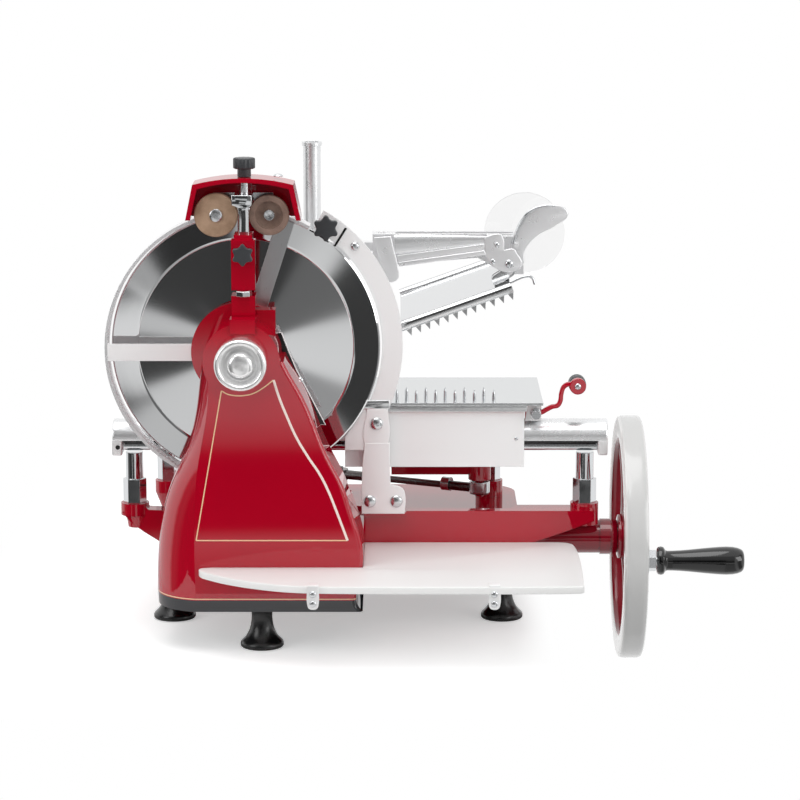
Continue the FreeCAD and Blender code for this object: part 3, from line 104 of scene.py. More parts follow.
def enamel(name, colour, edge, band=None):
    """Stoved enamel: glass-like gloss over a faint orange peel, whose colour pools very slightly."""
    made, shader = surface(
        name, Base_Color=colour, Roughness=0.4, Specular_IOR_Level=0.0,
        Coat_Weight=1.0, Coat_Roughness=0.02, Coat_IOR=1.7,
    )
    spot = add(made, "TexCoord").outputs["Object"]
    peel = add(made, "TexNoise", None, {"Vector": spot, "Scale": cells(6.25), "Detail": 2.0})
    cloud = add(made, "TexNoise", None, {"Vector": spot, "Scale": cells(71.43), "Detail": 1.0})
    tone = add(made, "MapRange", None, {"Value": cloud.outputs[0], "To Min": 0.93, "To Max": 1.05})
    tint = add(made, "HueSaturation", None, {"Color": colour, "Value": tone.outputs[0]}).outputs[0]
    if band:
        high = add(made, "SeparateXYZ", None, {"Vector": spot}).outputs["Z"]
        for top, shade in band:
            below = add(made, "Math", {"operation": "LESS_THAN"}, {0: high, 1: top * MM}).outputs[0]
            tint = add(made, "Mix", {"data_type": "RGBA"}, {0: below, 6: tint, 7: shade}).outputs[2]
    made.node_tree.links.new(tint, shader.inputs["Base Color"])
    relief(made, shader, peel.outputs[0], 0.00006, edge)
    return made


RED = "B00020"
CREAM = "F0C9A0"
SLATE = "0A0E16"
BANDS = [(61.4, CREAM), (60.3, RED), (59.4, SLATE)]
# Sprayed and stoved: a wet gloss, with sharp pale reflections over a deep red, and soft cast edges.
tower_enamel = enamel("stoved red enamel over a slate plinth", RED, 0.003, BANDS)
# The same coat on the smaller castings, whose edges are tighter.
red_enamel = enamel("stoved red enamel", RED, 0.002)
for node in ("tower_casting", "base_casting"):
    dress(node, tower_enamel)
for node in ("tower_back_cover", "bearing_housing"):
    dress(node, red_enamel)


# ---------------------------------------------------------------- pinstripes on the tower
# Coach lines of gold and cream enamel, drawn by hand with a long brush over the stoved red. They stand
# a hair proud of it and frame the tower's front, which is otherwise bare.


def settle(piece, body, made, angle=35):
    """Finishes a new piece: one material, soft shading across small angles, and its body."""
    piece.data.materials.clear()
    piece.data.materials.append(made)
    bpy.ops.object.select_all(action="DESELECT")
    piece.select_set(True)
    bpy.context.view_layer.objects.active = piece
    bpy.ops.object.transform_apply(location=True, rotation=True, scale=True)
    bpy.ops.object.shade_smooth_by_angle(angle=radians(angle))
    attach(piece, body)


def clean(piece):
    """Merges doubled corners and turns every face outwards."""
    bpy.ops.object.select_all(action="DESELECT")
    piece.select_set(True)
    bpy.context.view_layer.objects.active = piece
    bpy.ops.object.mode_set(mode="EDIT")
    bpy.ops.mesh.select_all(action="SELECT")
    bpy.ops.mesh.remove_doubles(threshold=0.000005)
    bpy.ops.mesh.normals_make_consistent(inside=False)
    bpy.ops.object.mode_set(mode="OBJECT")
    return piece


def ribbon(name, points, radius, soft=True, swell=None, sides=4):
    """A round bar drawn along a line of points in mm, its ends filled, as a mesh."""
    bpy.ops.object.select_all(action="DESELECT")
    bpy.ops.curve.primitive_bezier_curve_add(location=(0, 0, 0))
    line = bpy.context.object
    line.name = name
    line.data.splines.clear()
    run = line.data.splines.new("BEZIER")
    run.bezier_points.add(len(points) - 1)
    for k, (knot, spot) in enumerate(zip(run.bezier_points, points)):
        knot.co = [v * MM for v in spot]
        knot.handle_left_type = knot.handle_right_type = "AUTO" if soft else "VECTOR"
        knot.radius = swell[k] if swell else 1.0
    run.resolution_u = 10 if soft else 1
    line.data.bevel_depth = radius * MM
    line.data.bevel_resolution = sides
    line.data.use_fill_caps = True
    bpy.ops.object.convert(target="MESH")
    return clean(bpy.context.object)


def flattened(piece, axis, middle, share):
    """Presses a piece flat along one axis about a plane, in mm."""
    spot = Vector((0, 0, 0))
    spot[axis] = middle * MM
    way = Vector((0, 0, 0))
    way[axis] = 1
    piece.data.transform(
        Matrix.Translation(spot) @ Matrix.Scale(share, 4, way) @ Matrix.Translation(-spot)
    )
    return piece


def plain(name, size, detail, depth, edge=0.0, **values):
    """A moulded or painted material with these values, over a relief of cells this many mm across."""
    made, shader = surface(name, **values)
    spot = add(made, "TexCoord").outputs["Object"]
    grain = add(made, "TexNoise", None, {"Vector": spot, "Scale": cells(size), "Detail": detail})
    relief(made, shader, grain.outputs[0], depth, edge)
    return made


# Brushed enamels: a soft gloss, broken by brush ripples about half a millimetre apart.
gold_line = plain(
    "gold coach enamel", 0.5556, 1.0, 0.00004, Base_Color=CREAM, Roughness=0.25, Coat_Weight=0.3
)
cream_line = plain(
    "cream coach enamel", 0.5556, 1.0, 0.00004, Base_Color="FBE9E0", Roughness=0.22, Coat_Weight=0.3
)
LINE_Y = -31.05
dip = [
    (-40.6, 293.4), (-33.5, 289.6), (-25.9, 288.2), (-16, 288.3), (-6, 290.6), (4, 296.2), (16, 305.4),
]
right_edge = [
    (16, 305.4), (21.3, 288), (29.8, 266), (40.3, 242), (53.1, 220), (65.9, 200.4), (75.5, 180.7),
    (84, 158.7), (91.3, 139), (95.6, 127),
]
coach_lines = {
    "left_coach_line": ([(-40.6, 293.4), (-70, 127)], 0.65, gold_line),
    "foot_coach_line": ([(-70, 127), (95.6, 127)], 0.65, gold_line),
    "neck_coach_line": (dip, 0.65, gold_line),
    "right_coach_line": (right_edge, 1.35, cream_line),
}
for name, (points, half, made) in coach_lines.items():
    line = ribbon(name, [(x, LINE_Y, z) for x, z in points], half)
    settle(flattened(line, 1, LINE_Y, 0.15), "frame", made)

# ---------------------------------------------------------------- feet
# Four bell feet, moulded in glossy black rubber round a steel stud and screwed up into the castings:
# one under the tower's nose, one at each side and one at the back.


def turned(name, profile, spot, axis, sides=96, closed=False):
    """A lathe-turned solid: rings of (radius, height) in mm, laid along +X, +Y, -Y or +Z from a spot."""
    bpy.ops.object.select_all(action="DESELECT")
    start = profile[0]
    bpy.ops.mesh.primitive_circle_add(
        vertices=sides, radius=start[0] * MM, fill_type="NOTHING" if closed else "NGON"
    )
    piece = bpy.context.object
    piece.name = name
    bpy.ops.object.mode_set(mode="EDIT")
    bpy.ops.mesh.select_all(action="SELECT")
    bpy.ops.transform.translate(value=(0, 0, start[1] * MM))
    for before, after in zip(profile, profile[1:] + (profile[:1] if closed else [])):
        rise = (0, 0, (after[1] - before[1]) * MM)
        bpy.ops.mesh.extrude_region_move(TRANSFORM_OT_translate={"value": rise})
        swell = after[0] / before[0]
        bpy.ops.transform.resize(value=(swell, swell, 1), center_override=(0, 0, 0))
    bpy.ops.object.mode_set(mode="OBJECT")
    turn = {
        "X": Matrix.Rotation(pi / 2, 4, "Y"),
        "Y": Matrix.Rotation(-pi / 2, 4, "X"),
        "-Y": Matrix.Rotation(pi / 2, 4, "X"),
        "Z": Matrix.Identity(4),
    }[axis]
    piece.data.transform(Matrix.Translation([v * MM for v in spot]) @ turn)
    return clean(piece)


# Moulded in a polished tool: black, with a broad soft highlight down each flank.
rubber = plain(
    "moulded black rubber", 0.125, 3.0, 0.00005, Base_Color="0B0B0C", Roughness=0.24, Coat_Weight=0.25
)
BELL = [
    (20, 0), (23, 0.3), (24, 1.5), (24, 4.4), (23.2, 6.2), (21.3, 8.2), (18.6, 10.8), (16.2, 14.4),
    (14, 19), (12.6, 24), (11.8, 29), (11.4, 34), (11.6, 38.5), (12.8, 41.6), (14, 43.6), (14, 46.4),
]
# The front foot stands at the origin, and the others are copied this far from it.
OTHERS = {"left": (-106, 127), "right": (270, 127), "back": (93, 267)}
bell = turned("front_foot", BELL, (0, 0, 0), "Z", 64)
feet = [bell]
for place, (x, y) in OTHERS.items():
    copy = bell.copy()
    copy.data = bell.data.copy()
    copy.name = place + "_foot"
    bpy.context.scene.collection.objects.link(copy)
    copy.data.transform(Matrix.Translation((x * MM, y * MM, 0)))
    feet.append(copy)
for foot in feet:
    settle(foot, "frame", rubber)
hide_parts("feet")

# ---------------------------------------------------------------- rails and their posts
# Ground steel bars on hexagon-collared posts, hard chromed and buffed to a mirror. A shield of stainless
# tube, open underneath, covers the front bar, and a nickelled block holds it at each end.


def buffed(name, colour, roughness, edge=0.0, metallic=1.0, depth=0.00002):
    """Plated or buffed metal: a mirror with the slow ripple that a buffing wheel leaves."""
    made, shader = surface(name, Base_Color=colour, Metallic=metallic, Roughness=roughness)
    spot = add(made, "TexCoord").outputs["Object"]
    wave = add(made, "TexNoise", None, {"Vector": spot, "Scale": cells(16.67), "Detail": 2.0})
    limits = {"To Min": roughness * 0.7, "To Max": roughness * 1.5}
    wear = add(made, "MapRange", None, {"Value": wave.outputs[0], **limits})
    made.node_tree.links.new(wear.outputs[0], shader.inputs["Roughness"])
    relief(made, shader, wave.outputs[0], depth, edge)
    return made


# Hard chrome, buffed: a cool mirror whose reflections are crisp.
chrome = buffed("buffed chrome plate", "D9DBDD", 0.05, 0.0008)
# Drawn and polished stainless: bright, with its reflections drawn out soft along the tube.
polished_tube = buffed("polished stainless tube", "F0F1F2", 0.24, 0.0, 0.7)
# Bead-blasted before plating: pale and even, with hardly a reflection.
block_metal = buffed("satin nickel plate", "F4F4F4", 0.34, 0.001, 0.35)
for node in ("rail_posts", "rear_rail"):
    dress(node, chrome)


def block(name, low, high, rim):
    """A block between two corners in mm, with its edges rounded."""
    bpy.ops.object.select_all(action="DESELECT")
    bpy.ops.mesh.primitive_cube_add(size=1)
    piece = bpy.context.object
    piece.name = name
    size = [(b - a) * MM for a, b in zip(low, high)] + [1]
    middle = [(a + b) / 2 * MM for a, b in zip(low, high)]
    piece.data.transform(Matrix.Translation(middle) @ Matrix.Diagonal(size))
    bpy.ops.object.mode_set(mode="EDIT")
    bpy.ops.mesh.select_all(action="SELECT")
    bpy.ops.mesh.bevel(offset=rim * MM, segments=3, affect="EDGES")
    bpy.ops.object.mode_set(mode="OBJECT")
    return clean(piece)


RAIL_Y = 117
SHIELD_EDGE = 212.4
shield = turned(
    "rail_shield",
    [(17.4, 0), (18.6, 0.5), (19, 1.8), (19, 2.2), (19, 558.1), (19, 558.5), (18.4, 559.7), (17.2, 560)],
    (-172.2, RAIL_Y, 215.5), "X",
)
bpy.ops.object.mode_set(mode="EDIT")
bpy.ops.mesh.select_all(action="SELECT")
bpy.ops.mesh.bisect(
    plane_co=(0, 0, SHIELD_EDGE * MM), plane_no=(0, 0, 1), use_fill=True, clear_inner=True
)
bpy.ops.object.mode_set(mode="OBJECT")
settle(shield, "frame", polished_tube)
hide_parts("front_rail")
bar = turned("rail_bar", [(5, 0), (5.4, 0.4), (5.4, 538.6), (5, 539)], (-162, RAIL_Y, 203.4), "X", 48)
settle(bar, "frame", chrome)
# A strip of black rubber across the gap under the shield's open edge: painted shade between the shield and
# the bar.
painted_gap_shade = block("rail_gap_shade_strip", (-160, 103, 209.2), (376, 131, 212.2), 0.3)
settle(painted_gap_shade, "frame", rubber)
left_end = block("rail_left_block", (-173, 98, 195), (-161.2, 136, 214), 2)
settle(left_end, "frame", block_metal)
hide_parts("rail_end_caps")
right_end = block("rail_right_block", (377, 98, 195.6), (388, 136, 213.6), 2)
settle(right_end, "frame", block_metal)
# A black disc on the left block's face: painted shade inside its socket.
socket = turned("rail_block_socket_shade", [(2.3, 0), (2.6, 0.2), (2.6, 0.5)], (-166, 98.2, 205), "-Y", 24)
settle(socket, "frame", rubber)


# ---------------------------------------------------------------- receiving tray
# A plate of white polyethylene, routed to shape with a swept nose, on two flat steel bars. It is held
# by two folded steel clips, each with two dome screws.


def plate(name, outline, thick, spot, plane, rim=0.8, steps=8):
    """A plate cut to an outline of (a, b, smooth) in mm, lying in XY or XZ, thick from its spot."""
    bpy.ops.object.select_all(action="DESELECT")
    bpy.ops.curve.primitive_bezier_circle_add(location=(0, 0, 0))
    sheet = bpy.context.object
    sheet.name = name
    sheet.data.splines.clear()
    sheet.data.dimensions = "2D"
    sheet.data.fill_mode = "BOTH"
    run = sheet.data.splines.new("BEZIER")
    run.bezier_points.add(len(outline) - 1)
    for knot, (a, b, smooth) in zip(run.bezier_points, outline):
        knot.co = (a * MM, b * MM, 0)
        knot.handle_left_type = knot.handle_right_type = "AUTO" if smooth else "VECTOR"
    run.use_cyclic_u = True
    run.resolution_u = steps
    sheet.data.extrude = (thick / 2 - rim) * MM
    sheet.data.bevel_depth = rim * MM
    sheet.data.bevel_resolution = 2
    sheet.data.offset = -rim * MM
    bpy.ops.object.convert(target="MESH")
    sheet = bpy.context.object
    if plane == "XY":
        turn = Matrix.Translation((0, 0, thick / 2 * MM))
    else:
        turn = Matrix.Translation((0, thick / 2 * MM, 0)) @ Matrix.Rotation(pi / 2, 4, "X")
    sheet.data.transform(Matrix.Translation([v * MM for v in spot]) @ turn)
    return clean(sheet)


# Routed and scraped: a waxy white with a dull sheen and no clear reflection.
white_plastic = plain(
    "routed white polyethylene", 0.4167, 3.0, 0.00003, Base_Color="F1F1F0", Roughness=0.38, IOR=1.5
)
tray = plate(
    "receiving_plate",
    [
        (-65.7, -36, True), (-66, -44, True), (-52, -63, True), (-28, -84, True), (4, -103, True),
        (40, -116, True), (80, -120, True), (340, -120, True), (349, -117, True), (350, -108, True),
        (350, 70, True), (345, 85, True), (334, 90, False), (112.4, 90, False),
        (112.4, -31.4, False), (-54, -31.4, False),
    ],
    8, (0, 0, 89), "XY", 1.2, 10,
)
settle(tray, "frame", white_plastic)
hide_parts("receiving_tray")


def brushed(name, colour, roughness, lay, edge=0.0, metallic=1.0):
    """Brushed sheet: scratches along the axis that lay names, 17 mm long. They are drawn a third of a
    mm apart, coarser than real ones, so that they show."""
    made, shader = surface(name, Base_Color=colour, Metallic=metallic, Roughness=roughness)
    spot = add(made, "TexCoord").outputs["Object"]
    stretch = [cells(16.67 if axis == lay else 0.3333) for axis in "XYZ"]
    laid = add(made, "Mapping", None, {"Vector": spot, "Scale": stretch})
    lines = add(made, "TexNoise", None, {"Vector": laid.outputs[0], "Scale": 1.0, "Detail": 2.0})
    limits = {"To Min": roughness * 0.75, "To Max": roughness * 1.3}
    wear = add(made, "MapRange", None, {"Value": lines.outputs[0], **limits})
    made.node_tree.links.new(wear.outputs[0], shader.inputs["Roughness"])
    relief(made, shader, lines.outputs[0], 0.00001, edge)
    return made


# Belt-brushed along its length: highlights spread across the lines.
stainless = brushed("brushed stainless sheet", "DCDDDE", 0.26, "X", 0.0006)
# Satin finished upright: it scatters so widely under soft boxes that it reads as near white.
stainless_upright = brushed("satin stainless sheet", "FAFAFA", 0.42, "Z", 0.0006, 0.1)
# Zinc over turned steel: a bluish shine, a little blurred.
zinc = buffed("bright zinc plate", "D5D7D9", 0.2, 0.0005)
dress("tray_supports", stainless)
DOME = [(3.5, 0), (3.7, 0.3), (3.4, 0.9), (2.5, 1.5), (1.3, 1.85), (0.3, 1.95)]
CLIP_Y = -121.8
CLIP_EDGE = [
    (-6, 98.4, False), (-6, 77, True), (-4.4, 73.4, True), (0, 72.1, True), (4.4, 73.4, True),
    (6, 77, True), (6, 98.4, False),
]
for number, middle in enumerate((60, 254), start=1):
    edge = [(middle + a, b, smooth) for a, b, smooth in CLIP_EDGE]
    clip = plate(f"tray_clip_{number}", edge, 1.8, (0, CLIP_Y, 0), "XZ", 0.5)
    settle(clip, "frame", block_metal)
    if number == 1:
        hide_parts("tray_clips")
    lip = block(f"tray_clip_lip_{number}", (middle - 6, -121.4, 96.9), (middle + 6, -108, 98.5), 0.5)
    settle(lip, "frame", stainless_upright)
    fold = block(f"tray_clip_fold_{number}", (middle - 6, -121, 81.4), (middle + 6, -111.3, 83.9), 0.5)
    settle(fold, "frame", block_metal)
    for high in (89, 78.6):
        screw = turned(f"clip_screw_{number}_{round(high)}", DOME, (middle, CLIP_Y, high), "-Y", 32)
        settle(screw, "frame", zinc)

# ---------------------------------------------------------------- knife and its hub
# The 300 mm knife is hollow ground carbon-chrome steel: a circular-ground face, then a polished bevel
# band. It runs on a steel hub, and a turned aluminium cap closes the shaft in front of the tower.
KNIFE = (-19, 75, 325)


def ground_steel(name, colour, roughness, anisotropy, lean):
    """Circular-ground steel: scratches round the axis stretch the light into rays, and the hollow of
    the grind leans the surface outwards from the axis by a small share."""
    made, shader = surface(
        name, Base_Color=colour, Metallic=1.0, Roughness=roughness, Anisotropic=anisotropy
    )
    spot = add(made, "TexCoord").outputs["Object"]
    middle = [v * MM for v in KNIFE]
    place = add(made, "VectorMath", {"operation": "SUBTRACT"}, {0: spot, 1: middle}).outputs[0]
    flat = add(made, "VectorMath", {"operation": "MULTIPLY"}, {0: place, 1: (1, 0, 1)}).outputs[0]
    reach = add(made, "VectorMath", {"operation": "LENGTH"}, {0: flat}).outputs["Value"]
    ring = add(made, "CombineXYZ", None, {"X": reach}).outputs[0]
    lines = add(made, "TexNoise", None, {"Vector": ring, "Scale": cells(0.7143), "Detail": 3.0})
    around = add(made, "VectorMath", {"operation": "CROSS_PRODUCT"}, {0: flat, 1: (0, 1, 0)})
    way = add(made, "VectorMath", {"operation": "NORMALIZE"}, {0: around.outputs[0]})
    made.node_tree.links.new(way.outputs[0], shader.inputs["Tangent"])
    out = add(made, "VectorMath", {"operation": "NORMALIZE"}, {0: flat}).outputs[0]
    hollow = add(made, "VectorMath", {"operation": "SCALE"}, {0: out, "Scale": lean}).outputs[0]
    face = add(made, "NewGeometry").outputs["Normal"]
    ground = add(made, "VectorMath", {"operation": "ADD"}, {0: face, 1: hollow}).outputs[0]
    ground = add(made, "VectorMath", {"operation": "NORMALIZE"}, {0: ground}).outputs[0]
    settings = {"Height": lines.outputs[0], "Strength": 1.0, "Distance": 0.000003, "Normal": ground}
    grooves = add(made, "Bump", None, settings)
    made.node_tree.links.new(grooves.outputs["Normal"], shader.inputs["Normal"])
    return made


# The hollow face gathers the dark and light of the room into fans that meet at the hub. The bevel, which
# leans the other way and is polished, shows its own crisper band of them.
knife_face = ground_steel("circular ground knife steel", "DCDDDE", 0.07, 0.6, 0.105)
knife_bevel = ground_steel("polished knife bevel", "E2E3E4", 0.05, 0.2, -0.1)
face = turned(
    "knife_face",
    [(12, 0), (60, 0), (119.6, 0), (120.2, 0.5), (120.2, 2.9), (12, 2.9)],
    KNIFE, "Y", 192, closed=True,
)
settle(face, "knife", knife_face, 20)
bevel = turned(
    "knife_bevel",
    [
        (119.9, 0.25), (121, 0), (123, 0.02), (146, 0.28), (148, 0.3), (149.4, 1.2), (150, 2.9), (134, 3),
        (119.9, 3),
    ],
    KNIFE, "Y", 192, closed=True,
)
settle(bevel, "knife", knife_bevel, 20)
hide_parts("blade")
# Turned on a lathe and softly buffed: bright rings, with a dark one where the groove looks down.
cap_metal = buffed("turned satin aluminium", "FAFAFA", 0.2, 0.0, 0.75)
cap = turned(
    "shaft_cap",
    [
        (20, 0), (24.5, 0), (26.6, 3), (28, 8), (28.5, 14), (28.5, 20.5), (28.1, 23), (27, 24.7),
        (25.2, 25.6), (23.4, 25.2), (21.8, 23.6), (20.4, 20.6), (19, 17.4), (17.2, 15.4), (15.4, 15.2),
        (14.6, 17.4), (14.1, 21), (12.6, 23.7), (9.6, 25), (5, 25.6), (0.4, 25.7),
    ],
    (KNIFE[0], -31.3, KNIFE[2]), "-Y",
)
settle(cap, "knife", cap_metal, 50)
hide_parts("hub_cap")
# Machined and left oiled: a dark grey with a dull shine.
machined = buffed("machined dark steel", "7C7E80", 0.3, 0.0005)
for node in ("blade_hub", "blade_shaft", "driven_sprocket", "drive_chains"):
    dress(node, machined)

# ---------------------------------------------------------------- knife guard
# A rolled stainless ring and a crescent plate cover the edge, on three flat arms and a folded bracket
# screwed to the base. A thin deflector lifts the slice off the knife; a black strip over most of its
# face is painted shade and dark reflection.

# Polished strip: nearly a mirror.
guard_metal = buffed("polished stainless strip", "DEDFE0", 0.12, 0.0005)
# Rolled, then satin finished: a soft bright rim.
dress("ring_guard", buffed("satin rolled ring", "F0F0F1", 0.26, 0.0005, 0.6))
SCREWS = ((119, 147, 7, 77.5), (148.9, 147, 7, 77.5), (126.6, 236.1, 7.2, 77.5), (102.7, 436.6, 5, 80))
HEAD = [(5.7, 0), (6, 0.3), (5.6, 1.2), (4.4, 2.1), (2.4, 2.7), (0.4, 2.95)]
for number, (x, z, size, front) in enumerate(SCREWS, start=1):
    rings = [(size * a / 6, b) for a, b in HEAD]
    screw = turned(f"bracket_screw_{number}", rings, (x, front, z), "-Y", 40)
    settle(screw, "frame", zinc)
    if number == 1:
        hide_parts("bracket_screws")
for node in ("guard_spokes", "guard_plate"):
    dress(node, stainless_upright)
# The upper arm alone is polished, so it takes the dark of the room and reads as mid grey.
UPPER_ARM = 345
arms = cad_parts["guard_spokes"].data
arms.materials.append(brushed("polished stainless arm", "C4C5C6", 0.3, "Z", 0.0006))
for face in arms.polygons:
    face.material_index = int(face.center.z > UPPER_ARM * MM)
leg = plate(
    "bracket_leg",
    [
        (113.5, 214, False), (110.7, 187, True), (109.6, 132.6, False), (158.3, 132.6, False),
        (158.3, 156.5, True), (155, 162, True), (142.4, 165.7, False), (141.5, 187, False),
        (141.5, 214, False),
    ],
    6, (0, 77.5, 0), "XZ", 0.7,
)
settle(leg, "frame", stainless_upright)
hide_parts("guard_plate_bracket")
tab = plate(
    "bracket_tab",
    [
        (139.6, 253.5, False), (111.7, 252.5, False), (108, 246, True), (91.2, 219.6, False),
        (91.1, 205.4, False), (139.6, 205.4, False),
    ],
    4, (0, 79.5, 0), "XZ", 0.6,
)
settle(tab, "frame", stainless_upright)
cheek = plate(
    "bracket_cheek",
    [(116, 253, False), (139.4, 253, False), (139.4, 214, True), (134, 206.8, True), (117.5, 206.8, True)],
    1.6, (0, 77.9, 0), "XZ", 0.5,
)
settle(cheek, "frame", stainless_upright)
bend = plate(
    "bracket_bend",
    [(111.2, 252.2, False), (113.6, 262.2, False), (141.5, 263, False), (141.5, 252.6, False)],
    5.5, (0, 78, 0), "XZ", 1.2,
)
settle(bend, "frame", guard_metal)
# A black strip on the guard: painted shade inside its slot.
slot = plate(
    "guard_slot_shade",
    [(79.4, 437.3, False), (81.6, 436.1, False), (94.1, 456.2, False), (91.9, 457.4, False)],
    0.6, (0, 79.6, 0), "XZ", 0.1,
)
settle(slot, "frame", rubber)
strip = plate(
    "deflector",
    [
        (10, 346.6, False), (23.2, 346.6, False), (30.8, 325.8, False), (39.8, 304, False),
        (60.4, 263.8, False), (71, 243, False), (50, 243, False), (30, 290, False),
    ],
    1.6, (0, 35.2, 0), "XZ", 0.4,
)
settle(strip, "frame", stainless_upright)
# A black strip over most of the deflector's face, short of its left edge: painted shade and dark
# reflection.
strip = plate(
    "deflector_painted_shade",
    [
        (18, 346.2, False), (22, 346.2, False), (29.6, 325.8, False), (38.6, 304, False),
        (59.2, 263.8, False), (69.8, 243.6, False), (52, 243.6, False), (41, 264, False), (27, 292, False),
        (12, 320, False),
    ],
    0.8, (0, 34.5, 0), "XZ", 0.2,
)
settle(strip, "frame", rubber)
screw = turned("deflector_screw", DOME, (42.6, 34.6, 293), "-Y", 32)
settle(screw, "frame", chrome)

# ---------------------------------------------------------------- flywheel and its bearing
# A cast iron wheel: five swept arms and a hub enamelled red, inside a heavy rounded rim enamelled white.
# The red is painted darker than the castings' red, as shade, since it stands in the rim's shade.
# The rim's tread is painted a little greyer as shade, and its inner face is red like the arms.
WHEEL = (402, 137, 93)
SHADED_WHEEL_RED = "8C001C"
RIM_WHITE = "F4F4F2"
TREAD_SHADE_GREY = "CFCFCE"
RED_RADIUS = 113.5
TREAD_SHADE_RADII = (136.2, 138.4)
# Stoved like the castings; the deeper red is painted shade, for parts that stand in the rim's shade.
shaded_wheel_enamel = enamel("stoved red wheel enamel darkened as painted shade", SHADED_WHEEL_RED, 0.002)
dress("wheel_bearing", shaded_wheel_enamel)
# Stoved white: a milky face under a thin gloss, so that its highlights are soft.
white_enamel, shader = surface(
    "stoved white enamel", Base_Color=RIM_WHITE, Roughness=0.2, IOR=1.5, Coat_Weight=0.5,
    Coat_Roughness=0.05,
)
spot = add(white_enamel, "TexCoord").outputs["Object"]
peel = add(white_enamel, "TexNoise", None, {"Vector": spot, "Scale": cells(0.6667), "Detail": 2.0})
relief(white_enamel, shader, peel.outputs[0], 0.00006)
middle = [v * MM for v in WHEEL]
place = add(white_enamel, "VectorMath", {"operation": "SUBTRACT"}, {0: spot, 1: middle})
place = add(white_enamel, "VectorMath", {"operation": "MULTIPLY"}, {0: place.outputs[0], 1: (0, 1, 1)})
reach = add(white_enamel, "VectorMath", {"operation": "LENGTH"}, {0: place.outputs[0]}).outputs["Value"]
# Inside the red radius the face takes the darkened red, painted shade. Over the tread radii it blends to a
# grey that is painted shade.
inner = add(white_enamel, "Math", {"operation": "LESS_THAN"}, {0: reach, 1: RED_RADIUS * MM})
limits = {"From Min": TREAD_SHADE_RADII[0] * MM, "From Max": TREAD_SHADE_RADII[1] * MM}
tread = add(white_enamel, "MapRange", None, {"Value": reach, **limits})
tint = RIM_WHITE
for share, shade in ((inner, SHADED_WHEEL_RED), (tread, TREAD_SHADE_GREY)):
    colours = {0: share.outputs[0], 6: tint, 7: shade}
    tint = add(white_enamel, "Mix", {"data_type": "RGBA"}, colours).outputs[2]
white_enamel.node_tree.links.new(tint, shader.inputs["Base Color"])
RIM_RADIUS = 125.5
RIM_HALF = 13.5
RIM_STEPS = 40
SQUARENESS = 6
section = []
for k in range(RIM_STEPS):
    angle = 2 * pi * k / RIM_STEPS
    across, along = cos(angle), sin(angle)
    size = RIM_HALF * (abs(across) ** SQUARENESS + abs(along) ** SQUARENESS) ** (-1 / SQUARENESS)
    section.append((RIM_RADIUS + size * across, RIM_HALF + size * along))
rim = turned("wheel_rim", section, WHEEL, "X", 160, closed=True)
settle(rim, "wheel", white_enamel)
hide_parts("flywheel")
hub = turned(
    "wheel_hub",
    [
        (9, 0), (22, 0), (25, 1), (26, 4), (25, 8), (24, 13.5), (25, 19), (26, 23), (25, 26), (22, 27),
        (9, 27),
    ],
    WHEEL, "X", 64, closed=True,
)
settle(hub, "wheel", shaded_wheel_enamel)
ARMS = 5
ARM_X = WHEEL[0] + RIM_HALF
# Each arm's line, as (radius, how far it leads, in radians).
ARM_LINE = ((20, 0.0), (45, 0.12), (70, 0.23), (95, 0.29), (115, 0.3))
for k in range(ARMS):
    turn = 2 * pi * (k + 0.5) / ARMS
    points = []
    for reach, lead in ARM_LINE:
        points.append((ARM_X, WHEEL[1] + reach * cos(turn + lead), WHEEL[2] + reach * sin(turn + lead)))
    arm = ribbon(f"wheel_arm_{k + 1}", points, 8, swell=[1.35, 1.05, 0.9, 1.0, 1.35], sides=6)
    settle(flattened(arm, 0, ARM_X, 0.8), "wheel", shaded_wheel_enamel)
for node in ("flywheel_shaft", "wheel_sprocket"):
    dress(node, machined)

# ---------------------------------------------------------------- handle
# A plated bolt with a hexagon is screwed into the rim. It carries a grip of glossy black phenolic,
# turned with a bead by its collar, that spins on it.
dress("handle_bolt", zinc)
# Pressed, turned and polished: black, with long bright highlights.
phenolic = plain(
    "polished black phenolic", 1.111, 1.0, 0.00003, Base_Color="060607", Roughness=0.1, IOR=1.55,
    Coat_Weight=0.4, Coat_Roughness=0.03,
)
grip = turned(
    "turned_grip",
    [
        (9, 0), (13, 0.2), (15.2, 1.8), (16, 4.6), (15.2, 7.4), (13.2, 9), (11.6, 10), (11, 12), (11.1, 18),
        (11.5, 26), (12.2, 35), (13.1, 44), (14, 53), (14.8, 62), (15.4, 70), (15.7, 77), (15.4, 84),
        (14.4, 89.6), (12.8, 93.8), (10.8, 96), (8, 96.9), (0.4, 97),
    ],
    (438, 17, 93), "X", 64,
)
settle(grip, "grip", phenolic)
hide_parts("handle_grip")

# ---------------------------------------------------------------- drive inside the castings
# Machined steel shafts, sprockets and gears carry the wheel's turn up to the knife and back to the
# crank. The forged crank arm on the deck is enamelled like the castings.
for node in ("layshaft", "cross_shaft", "drive_sprocket", "crank_shaft", "crown_gear"):
    dress(node, machined)
dress("crank_arm", red_enamel)

# ---------------------------------------------------------------- meat carriage
# A cast carriage slides on bronze bushes, with a roller on the rear rail. It is skirted with folded
# stainless sheet, and a dark grey steel rod with eye ends joins it to the crank.
dress("carriage_casting", red_enamel)
# Past this X and above this Z is the casting's lug for the feed lever, which is plated.
LUG = (296.5, 228)
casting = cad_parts["carriage_casting"].data
casting.materials.append(block_metal)
for face in casting.polygons:
    face.material_index = int(face.center.x > LUG[0] * MM and face.center.z > LUG[1] * MM)
# Satin finished along its length: near white under soft light, like the guard.
dress("carriage_cover", brushed("satin stainless skirt", "FAFAFA", 0.42, "X", 0.0008, 0.1))
edging = block("carriage_edging", (88, 86.9, 247.9), (296, 88.2, 254.9), 0.4)
settle(edging, "carriage", stainless)
# Turned bronze: a warm brown shine.
dress("slide_bushes", buffed("machined bronze", "B08A4A", 0.28))
dress("rear_roller", machined)
